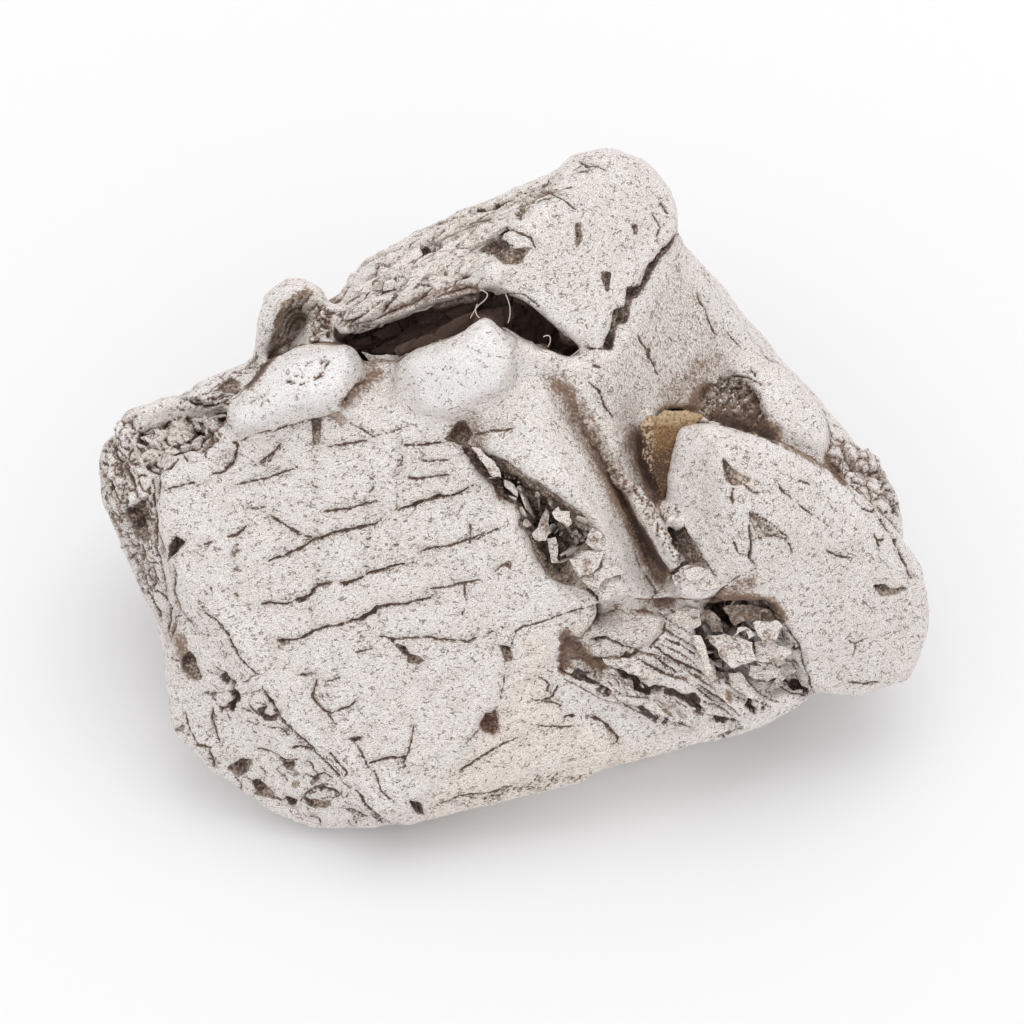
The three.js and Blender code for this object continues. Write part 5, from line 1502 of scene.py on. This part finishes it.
# The crumbs are dark even on top, with dirt and the painted shade of the cavity.
scraps.strew(CAVITY_FLOOR, 60, ((0.2, 0.5), (0.08, 0.2), (0.3, 0.8)), (-100, 20), ((-20, 20), (-20, 20)),
             sunk=0.3, foot=1.2, top=(0.2, 0.9), drab=0.6)
scraps.strew([(2.3, -1.6), (3.0, -1.5), (3.1, -2.0), (2.6, -2.3)], 14, (0.25, 0.15, 1.0), (0, 180), (0, 20),
             sunk=0.3, foot=1.0, top=-0.2)
for spot, (length, width, height), turn in [
    ((-0.95, 0.52), (0.5, 0.08, 1.2), 5), ((-0.42, 0.62), (0.12, 0.1, 1.1), 0),
    ((-0.25, 0.56), (0.1, 0.1, 1.1), 0), ((-0.05, 0.5), (0.14, 0.1, 1.1), 0),
    ((0.14, 0.32), (0.16, 0.12, 1.1), 0), ((0.27, -0.02), (0.5, 0.36, 1.3), 20),
    ((-0.1, -0.35), (0.5, 0.15, 1.2), -30), ((0.5, -0.6), (1.35, 0.2, 1.5), -65),
    ((0.95, -0.2), (0.28, 0.22, 1.3), 0), ((1.0, -0.6), (0.6, 0.08, 1.2), -85),
    ((0.3, -0.95), (0.6, 0.2, 1.2), -50), ((0.5, -1.4), (0.5, 0.25, 1.3), -40),
    ((1.5, -1.6), (0.5, 0.07, 1.3), 60), ((1.65, -1.65), (0.5, 0.07, 1.3), 55),
    ((1.8, -1.75), (0.45, 0.07, 1.3), 50), ((1.95, -1.85), (0.3, 0.07, 1.2), 50),
    ((2.3, -2.6), (1.1, 0.1, 1.2), 28), ((2.55, -2.6), (0.9, 0.08, 1.3), 32),
    ((2.15, -2.95), (0.8, 0.08, 1.1), 25), ((2.85, -1.3), (0.6, 0.12, 1.3), -30),
    ((1.55, -0.6), (0.3, 0.15, 1.3), 60),
]:
    scraps.sliver(spot, (length, width, 1.4 * height), turn, (0, rng.uniform(-15, 15)), sunk=0.2, foot=0.7,
                  top=-0.5)
for outline, thick, lift, tilt, seed in [
    ([(-1.84, 1.8), (-1.5, 1.7), (-1.1, 1.35), (-0.85, 1.15), (-0.7, 0.9), (-0.57, 0.55), (-0.85, 0.55),
      (-1.05, 0.6), (-1.3, 1.1)], 0.5, 0.5, (0, 0.1), 61),
    ([(-0.5, 0.4), (-0.2, 0.35), (0.1, 0.0), (0.05, -0.25), (-0.2, -0.1), (-0.45, 0.15)], 0.5, 0.3,
     (0.2, 0), 62),
    ([(1.33, -0.75), (1.45, -0.95), (1.4, -1.4), (1.55, -1.75), (1.3, -2.2), (0.8, -2.2), (0.7, -1.85),
      (0.95, -1.6), (1.1, -1.2)], 0.5, 0.5, (0.1, 0), 63),
    ([(1.57, -1.0), (1.9, -0.75), (2.0, -0.95), (2.35, -0.95), (2.47, -1.4), (2.2, -1.6), (1.95, -1.4),
      (1.7, -1.25)], 0.5, 0.7, (0, 0), 64),
    ([(1.3, -2.1), (1.75, -2.0), (1.8, -2.5), (1.9, -3.1), (1.6, -3.1), (1.45, -2.6)], 0.5, 0.6, (0, 0), 65),
    ([(3.1, -1.95), (3.35, -1.65), (3.7, -1.8), (3.6, -2.5), (3.3, -2.55), (3.05, -2.3)], 0.4, 0.3,
     (-0.2, 0.2), 2),
    ([(2.26, -3.0), (2.9, -2.65), (3.2, -2.6), (3.7, -2.65), (3.6, -3.3), (3.1, -3.6), (2.7, -3.65),
      (2.5, -3.3)], 0.4, 0.4, (0.1, 0.1), 3),
    ([(2.75, -3.7), (3.3, -3.6), (3.75, -3.3), (3.7, -2.8), (4.5, -3.4), (4.55, -3.6), (3.9, -3.75),
      (3.5, -4.3), (3.2, -4.2)], 0.3, 0.2, (0, 0.2), 4),
    ([(3.5, -4.3), (3.65, -3.9), (4.0, -3.65), (4.5, -3.6), (4.55, -4.2), (4.0, -4.65), (3.75, -4.7)],
     0.3, 0.1, (0, 0.1), 5),
    ([(7.1, -3.5), (7.8, -3.3), (8.3, -3.5), (8.0, -3.8), (7.3, -3.9)], 0.2, 0.1, (0, 0.2), 6),
    ([(7.9, -3.7), (8.8, -3.7), (9.1, -4.0), (8.3, -4.3), (7.7, -4.1)], 0.2, 0.05, (0.1, 0), 7),
    ([(6.8, -3.6), (7.2, -3.4), (7.4, -3.9), (6.9, -4.1)], 0.2, 0.1, (0, 0), 8),
]:
    scraps.plate(outline, thick, lift, tilt, seed, foot=0.9)

# Blocks lie in the fissure, dark all over with dirt and the painted shade of its depth, and a pale sheet
# spans its left end.
FISSURE_FLOOR = [(-7.0, 6.2), (-4.4, 7.2), (-1.4, 8.0), (0.4, 7.6), (-0.8, 7.2), (-3.6, 6.2), (-5.4, 5.8)]
scraps.strew(FISSURE_FLOOR, 24, ((1.2, 2.4), (0.5, 1.1), (0.4, 0.7)), (10, 40), ((-20, 20), (-30, 30)),
             sunk=0.5, foot=1.2, top=(0.95, 1.25), drab=1.0)
scraps.plate([(-6.5, 5.85), (-5.8, 5.75), (-4.9, 5.8), (-4.5, 5.7), (-4.7, 5.4), (-6.0, 5.2)], 0.15, 0.25,
             (0, 0), 27)

# Under the nose, plates lean on each other like slates; where they reach in under it they are dark
# with dirt and painted shade.
for outline, thick, lift, tilt, seed in [
    ([(7.9, -5.1), (8.4, -5.2), (8.8, -5.5), (9.0, -6.1), (8.4, -6.1)], 0.2, 0.4, (0.1, 0.2), 12),
    ([(8.9, -5.05), (10.2, -4.9), (11.0, -5.2), (11.2, -5.65), (10.1, -5.65), (9.4, -5.8)], 0.2, 0.4,
     (0.1, -0.1), 15),
]:
    scraps.plate(outline, thick, lift, tilt, seed, foot=1.0, top=0.4, drab=1.0)
for outline, thick, lift, tilt, seed in [
    ([(6.7, -5.3), (7.3, -5.0), (7.9, -5.15), (8.0, -5.8), (7.5, -6.0), (6.8, -5.9)], 0.2, 0.15,
     (0, 0.1), 11),
    ([(7.6, -6.25), (7.95, -6.3), (8.6, -8.0), (8.25, -8.1)], 0.3, 0.5, (0, 0), 13),
    ([(8.3, -6.2), (9.0, -6.15), (9.6, -6.3), (10.2, -6.5), (10.25, -7.2), (9.9, -7.5), (9.2, -7.6),
      (8.8, -7.1)], 0.25, 0.75, (0.05, 0.1), 14),
    ([(10.15, -5.7), (11.3, -5.65), (11.5, -5.9), (11.1, -6.4), (10.6, -6.5), (10.3, -6.1)], 0.2, 0.75,
     (0, 0.2), 16),
    ([(9.4, -6.3), (9.5, -5.9), (9.9, -5.8), (10.3, -6.2), (10.1, -6.4), (9.9, -6.05), (9.65, -6.1)],
     0.3, 0.8, (0, 0), 17),
    ([(10.3, -6.55), (11.1, -6.5), (11.9, -7.0), (11.4, -7.4), (10.35, -7.35)], 0.2, 0.85, (0.1, 0.15), 18),
    ([(11.5, -7.3), (12.1, -7.3), (12.15, -7.8), (11.8, -8.0), (11.5, -8.45), (11.1, -8.7), (11.0, -8.45),
      (11.4, -8.0)], 0.25, 0.7, (0, 0), 19),
    ([(10.1, -7.5), (11.1, -7.5), (11.4, -7.75), (11.2, -8.1), (10.4, -8.15), (10.0, -7.9)], 0.2, 0.6,
     (0, 0.1), 20),
    ([(10.35, -8.25), (10.95, -8.2), (11.0, -8.8), (10.7, -9.05), (10.3, -8.6)], 0.2, 0.5, (0, 0.1), 21),
    ([(9.15, -7.9), (9.7, -7.8), (10.3, -8.5), (10.5, -9.0), (10.0, -8.9), (9.3, -8.4)], 0.25, 0.5,
     (0, 0.1), 22),
    ([(8.5, -8.2), (9.2, -8.6), (9.9, -9.2), (9.9, -9.8), (9.2, -9.2), (8.6, -8.6)], 0.2, 0.25, (0, 0), 23),
    ([(10.3, -8.9), (10.6, -8.9), (10.65, -9.6), (10.35, -9.6)], 0.2, 0.2, (0, 0), 24),
    ([(10.9, -8.9), (11.6, -8.7), (12.1, -9.2), (11.2, -9.6), (10.8, -9.4)], 0.2, 0.15, (0, 0), 25),
    ([(3.8, -7.15), (5.0, -7.3), (6.3, -8.0), (5.6, -8.25), (4.8, -7.75), (4.0, -7.5)], 0.15, 0.15,
     (0, 0.05), 26),
]:
    scraps.plate(outline, thick, lift, tilt, seed, foot=1.0)
SLATE_GROUND = [
    (7.6, -5.2), (9.4, -4.9), (11.0, -5.2), (12.2, -7.4), (12.2, -8.8), (10.6, -9.4), (8.6, -8.4),
]
scraps.strew(SLATE_GROUND, 80, ((0.3, 0.8), (0.1, 0.3), (0.6, 1.2)), (-80, 20), (0, (-20, 20)),
             sunk=0.3, foot=1.2, top=(0.0, 0.7), drab=0.6)
STRATA_EDGE = [(2.2, -7.6), (4.2, -7.8), (8.2, -9.5), (8.0, -10.1), (5.0, -9.4), (2.4, -8.2)]
scraps.strew(STRATA_EDGE, 60, ((0.3, 0.7), 0.18, (0.1, 0.25)), (-55, -15), ((-10, 20), (-40, 40)),
             sunk=0.2, top=(0.0, 0.4), drab=0.5)

# Splinters in the pocket and beside the curled shell, and crumbs in the dark hollows.
POCKET_FLOOR = [
    (-16.2, 2.8), (-14.4, 2.9), (-12.5, 3.2), (-12.6, 2.4), (-14.4, 1.4), (-15.3, 0.9), (-16.1, 1.5),
]
scraps.strew(POCKET_FLOOR, 60, ((0.4, 1.3), (0.2, 0.45), (0.2, 0.4)), (-60, 50), ((0, 20), (-40, 40)),
             sunk=0.35, foot=0.8, top=(-0.5, 0.1))
SHELL_FLOOR = [(-9.1, 7.3), (-8.3, 8.1), (-7.8, 7.7), (-7.9, 6.4), (-8.9, 6.4)]
scraps.strew(SHELL_FLOOR, 40, ((0.2, 0.5), (0.15, 0.3), 0.25), (0, 180), ((0, 40), (-40, 40)),
             sunk=0.1, foot=1.0, top=(-0.1, 0.5), drab=0.6)
scraps.strew([(-11.3, 4.4), (-10.5, 5.4), (-10.2, 5.9), (-10.8, 5.6)], 20, (0.25, 0.2, 0.2), (0, 180),
             (0, 0), foot=1.0, top=0.5, drab=0.6)
for spot in scattered(rng, [(8.1, 3.4), (8.7, 4.8), (9.8, 4.8), (10.3, 4.0), (9.4, 3.3), (8.8, 3.1)], 60):
    size = 0.08 + 0.2 * rng.random() ** 2
    scraps.sliver(spot, (size, 0.8 * size, 0.8 * size), rng.uniform(0, 180), (rng.uniform(-40, 40), 0),
                  sunk=0.5, foot=0.8, top=rng.uniform(-0.4, 0.6))
CRUMBLED_TOP = [(13.8, 2.2), (15.6, 1.3), (16.6, 0.2), (16.8, -0.7), (15.4, -0.4), (14.0, 0.8)]
for spot in scattered(rng, CRUMBLED_TOP, 12):
    size = rng.uniform(0.3, 0.7)
    scraps.sliver(spot, (size, 0.7 * size, 0.5 * size), rng.uniform(0, 180), (rng.uniform(-30, 30), 0),
                  sunk=0.55, foot=0.7, top=rng.uniform(-0.5, 0.2), drab=0.2)
scraps.strew([(6.2, -0.6), (7.1, -0.8), (7.2, -1.4), (6.5, -1.5)], 26, ((0.1, 0.3), 0.14, 0.2), (0, 180),
             ((-30, 30), 0), sunk=0.3, top=(-0.4, 0.6), drab=0.4)

# Curled sheets stand out of the block's rim and of the ledge over the fissure.
RIM_SHEETS = [
    (-7.2, 6.8), (-4.8, 7.6), (-2.6, 8.6), (-1.6, 9.8), (0.6, 12.0), (-2.4, 11.6), (-5.6, 10.0), (-7.4, 8.6),
]
scraps.strew(RIM_SHEETS, 80, ((1.0, 2.8), (0.4, 0.9), 0.4), (18, 45), ((-8, 8), (-30, 10)),
             sunk=0.5, foot=1.0, top=-0.3, drab=0.1)

# None of them sinks below the seat.
for vert in scraps.bm.verts:
    vert.co = seated(np.array([vert.co]))[0]
flakes = loose_object("torn_flakes", scraps.bm)
for polygon in flakes.data.polygons:
    polygon.use_smooth = False
flakes.data.transform(FACE)
flakes.data.materials.append(iron_material)
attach(flakes, "root")
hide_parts("meteorite")

# --- The ochre crust ----------------------------------------------------------------------------
# A tongue of ochre and resin-brown rust that filled the top of the trough and set there, grown
# with small crystals down its left edge. It sits wedged between the spine and the nose.

CRUST_GRAIN = 0.07
CRUST_TOP = 4.3  # at its upper end
CRUST_DEPTH = 3.0
CRUST_FALL = 0.25  # how much lower its top lies, per millimetre down the face
CRUST_UPPER_END = 3.2
CRUST_OUTLINE = [
    (5.8, 2.9), (6.2, 3.15), (6.8, 3.3), (7.4, 3.2), (8.0, 3.15), (7.7, 2.7), (7.3, 2.2), (7.0, 1.6),
    (6.75, 1.0), (6.6, 0.4), (6.45, -0.3), (6.25, -0.5), (6.1, 0.0), (5.95, 0.6), (5.8, 1.1), (5.7, 1.5),
    (5.75, 2.1),
]
CRYSTAL_GROUND = [(5.62, 3.0), (5.95, 3.0), (6.1, 0.6), (5.6, 1.0)]


def rough_crust():
    """The tongue's outline as a block with a sloping top, with crystals sunk in its left edge."""
    bm = bmesh.new()
    base = bm.faces.new([bm.verts.new((*point, CRUST_TOP - CRUST_DEPTH)) for point in CRUST_OUTLINE])
    grown = bmesh.ops.extrude_face_region(bm, geom=[base])["geom"]
    top = [item for item in grown if isinstance(item, bmesh.types.BMVert)]
    bmesh.ops.translate(bm, vec=(0, 0, CRUST_DEPTH), verts=top)
    for vert in top:
        vert.co.z -= CRUST_FALL * (CRUST_UPPER_END - vert.co.y)
    bmesh.ops.recalc_face_normals(bm, faces=bm.faces)
    for spot in scattered(rng, CRYSTAL_GROUND, 46):
        side = rng.uniform(0.14, 0.28)
        spin = Matrix.Rotation(rng.uniform(0, 3), 4, "X") @ Matrix.Rotation(rng.uniform(0, 3), 4, "Z")
        level = CRUST_TOP - CRUST_FALL * (CRUST_UPPER_END - spot[1]) - rng.uniform(0, 0.5)
        bmesh.ops.create_cube(bm, size=side, matrix=Matrix.Translation((*spot, level)) @ spin)
    return loose_object("ochre_crust_visual", bm)


crust = remeshed(rough_crust(), CRUST_GRAIN)
crust_skin = Skin(crust, CRUST_GRAIN)
crust_skin.wear(5)
crust_skin.height += 0.16 * roughness(crust_skin.place, 0.8, 95)
crust_skin.height += 0.07 * roughness(crust_skin.place, 0.25, 96)
crust_skin.settle()
crust.data.shade_smooth()
crust.data.transform(FACE)

# The crust's colours: ochre above, resin below, sand in both, and crystals at its left edge.
OCHRE_TOP = (0.50, 0.36, 0.20, 1)
OCHRE = (0.24, 0.125, 0.045, 1)
RESIN = (0.08, 0.036, 0.012, 1)
DARK_OCHRE = (0.08, 0.04, 0.02, 1)
PALE_OCHRE = (0.70, 0.50, 0.28, 1)
DARK_CRYSTAL = (0.09, 0.05, 0.03, 1)
PALE_CRYSTAL = (0.58, 0.45, 0.32, 1)


def ochre_finish():
    ochre = Finish("ochre_crust")
    across, level, _ = ochre.add("SeparateXYZ", ("Vector", ochre.on_face)).outputs
    lumps = ochre.grain(0.5, 3)
    sand = ochre.grain(0.09, 2, roughness=0.7)
    colour = ochre.mix(ochre.ramp(ochre.shifted(level, 0.9, lumps), 1.1, 2.6), RESIN, OCHRE)
    colour = ochre.laid(colour, OCHRE_TOP, ochre.ramp(ochre.shifted(level, 0.8, lumps), 2.4, 3.1))
    colour = ochre.laid(colour, DARK_OCHRE, ochre.ramp(sand, 0.50, 0.62), 0.7)
    colour = ochre.laid(colour, PALE_OCHRE, ochre.ramp(sand, 0.44, 0.34), 0.35)
    teeth = ochre.grain(0.13, 0)
    edge = ochre.ramp(ochre.shifted(across, 0.2, sand), 6.05, 5.75)
    colour = ochre.laid(colour, DARK_CRYSTAL, edge, ochre.ramp(teeth, 0.47, 0.37), 0.8)
    colour = ochre.laid(colour, PALE_CRYSTAL, edge, ochre.ramp(teeth, 0.50, 0.60), 0.8)
    ochre.feed(ochre.shader.inputs["Base Color"], colour)
    ochre.feed(ochre.shader.inputs["Roughness"], ochre.calc("ADD", 0.45, ochre.times(lumps, 0.4)))
    relief = ochre.calc("ADD", lumps, sand)
    bump = ochre.add("Bump", ("Height", relief), ("Strength", 0.7), ("Distance", 0.06 * MM))
    ochre.feed(ochre.shader.inputs["Normal"], bump.outputs[0])
    return ochre.material


crust.data.materials.clear()
crust.data.materials.append(ochre_finish())
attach(crust, "root")
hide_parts("ochre_crust")

# --- Lint -----------------------------------------------------------------------------------------
# A few curled fibres, thinner than a hair, that have caught on the brinks of the fissure and of
# the pit at the cavity's upper end. They are drawn as fine round threads.

FIBRE_RADIUS = 0.022
FIBRE_CLEARANCE = 0.1  # of a thread's middle, above the iron
LINT = (0.50, 0.42, 0.34, 1)
PALE_LINT = (0.80, 0.74, 0.66, 1)
FIBRES = [
    [(-1.9, 7.3, 5.4), (-1.7, 7.7, 5.6), (-1.5, 7.9, 5.8), (-1.2, 8.1, 5.9), (-1.1, 8.4, 5.9),
     (-1.5, 8.5, 5.9)],
    [(-1.5, 7.3, 6.0), (-1.8, 7.5, 5.9), (-1.6, 7.9, 5.9)],
    [(-0.3, 7.1, 5.6), (-0.15, 7.5, 5.8), (-0.2, 7.9, 5.9), (-0.4, 8.3, 6.0)],
    [(1.4, 6.1, 5.2), (1.6, 6.4, 5.4), (1.5, 6.7, 5.6), (1.2, 6.5, 5.6)],
    [(2.4, 5.7, 4.8), (2.7, 5.9, 5.0), (2.9, 6.2, 5.2), (2.8, 5.9, 5.1), (3.1, 5.8, 5.0)],
]


def add_fibres():
    """The threads as round tubes along smooth curves."""
    curve = bpy.data.curves.new("lint_fibres", "CURVE")
    curve.dimensions = "3D"
    curve.bevel_depth = FIBRE_RADIUS
    curve.bevel_resolution = 1
    curve.use_fill_caps = True
    for route in FIBRES:
        thread = curve.splines.new("NURBS")
        thread.points.add(len(route) - 1)
        thread.order_u = 4
        thread.resolution_u = 6
        thread.use_endpoint_u = True
        for point, (across, up, out) in zip(thread.points, route):
            ground = ground_at((across, up), 0.15) + FIBRE_CLEARANCE
            point.co = (across, up, max(out, ground), 1)
    obj = bpy.data.objects.new("lint_fibres", curve)
    bpy.context.collection.objects.link(obj)
    mesh = bpy.data.meshes.new_from_object(obj.evaluated_get(bpy.context.evaluated_depsgraph_get()))
    bpy.data.objects.remove(obj)
    fibres = bpy.data.objects.new("lint_fibres", mesh)
    bpy.context.collection.objects.link(fibres)
    mesh.transform(FACE)
    mesh.shade_smooth()
    return fibres


def lint_finish():
    lint = Finish("lint")
    colour = lint.mix(lint.grain(0.3, 2), LINT, PALE_LINT)
    lint.feed(lint.shader.inputs["Base Color"], colour)
    lint.feed(lint.shader.inputs["Roughness"], 0.8)
    return lint.material


fibres = add_fibres()
fibres.data.materials.append(lint_finish())
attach(fibres, "root")
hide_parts("meteorite")
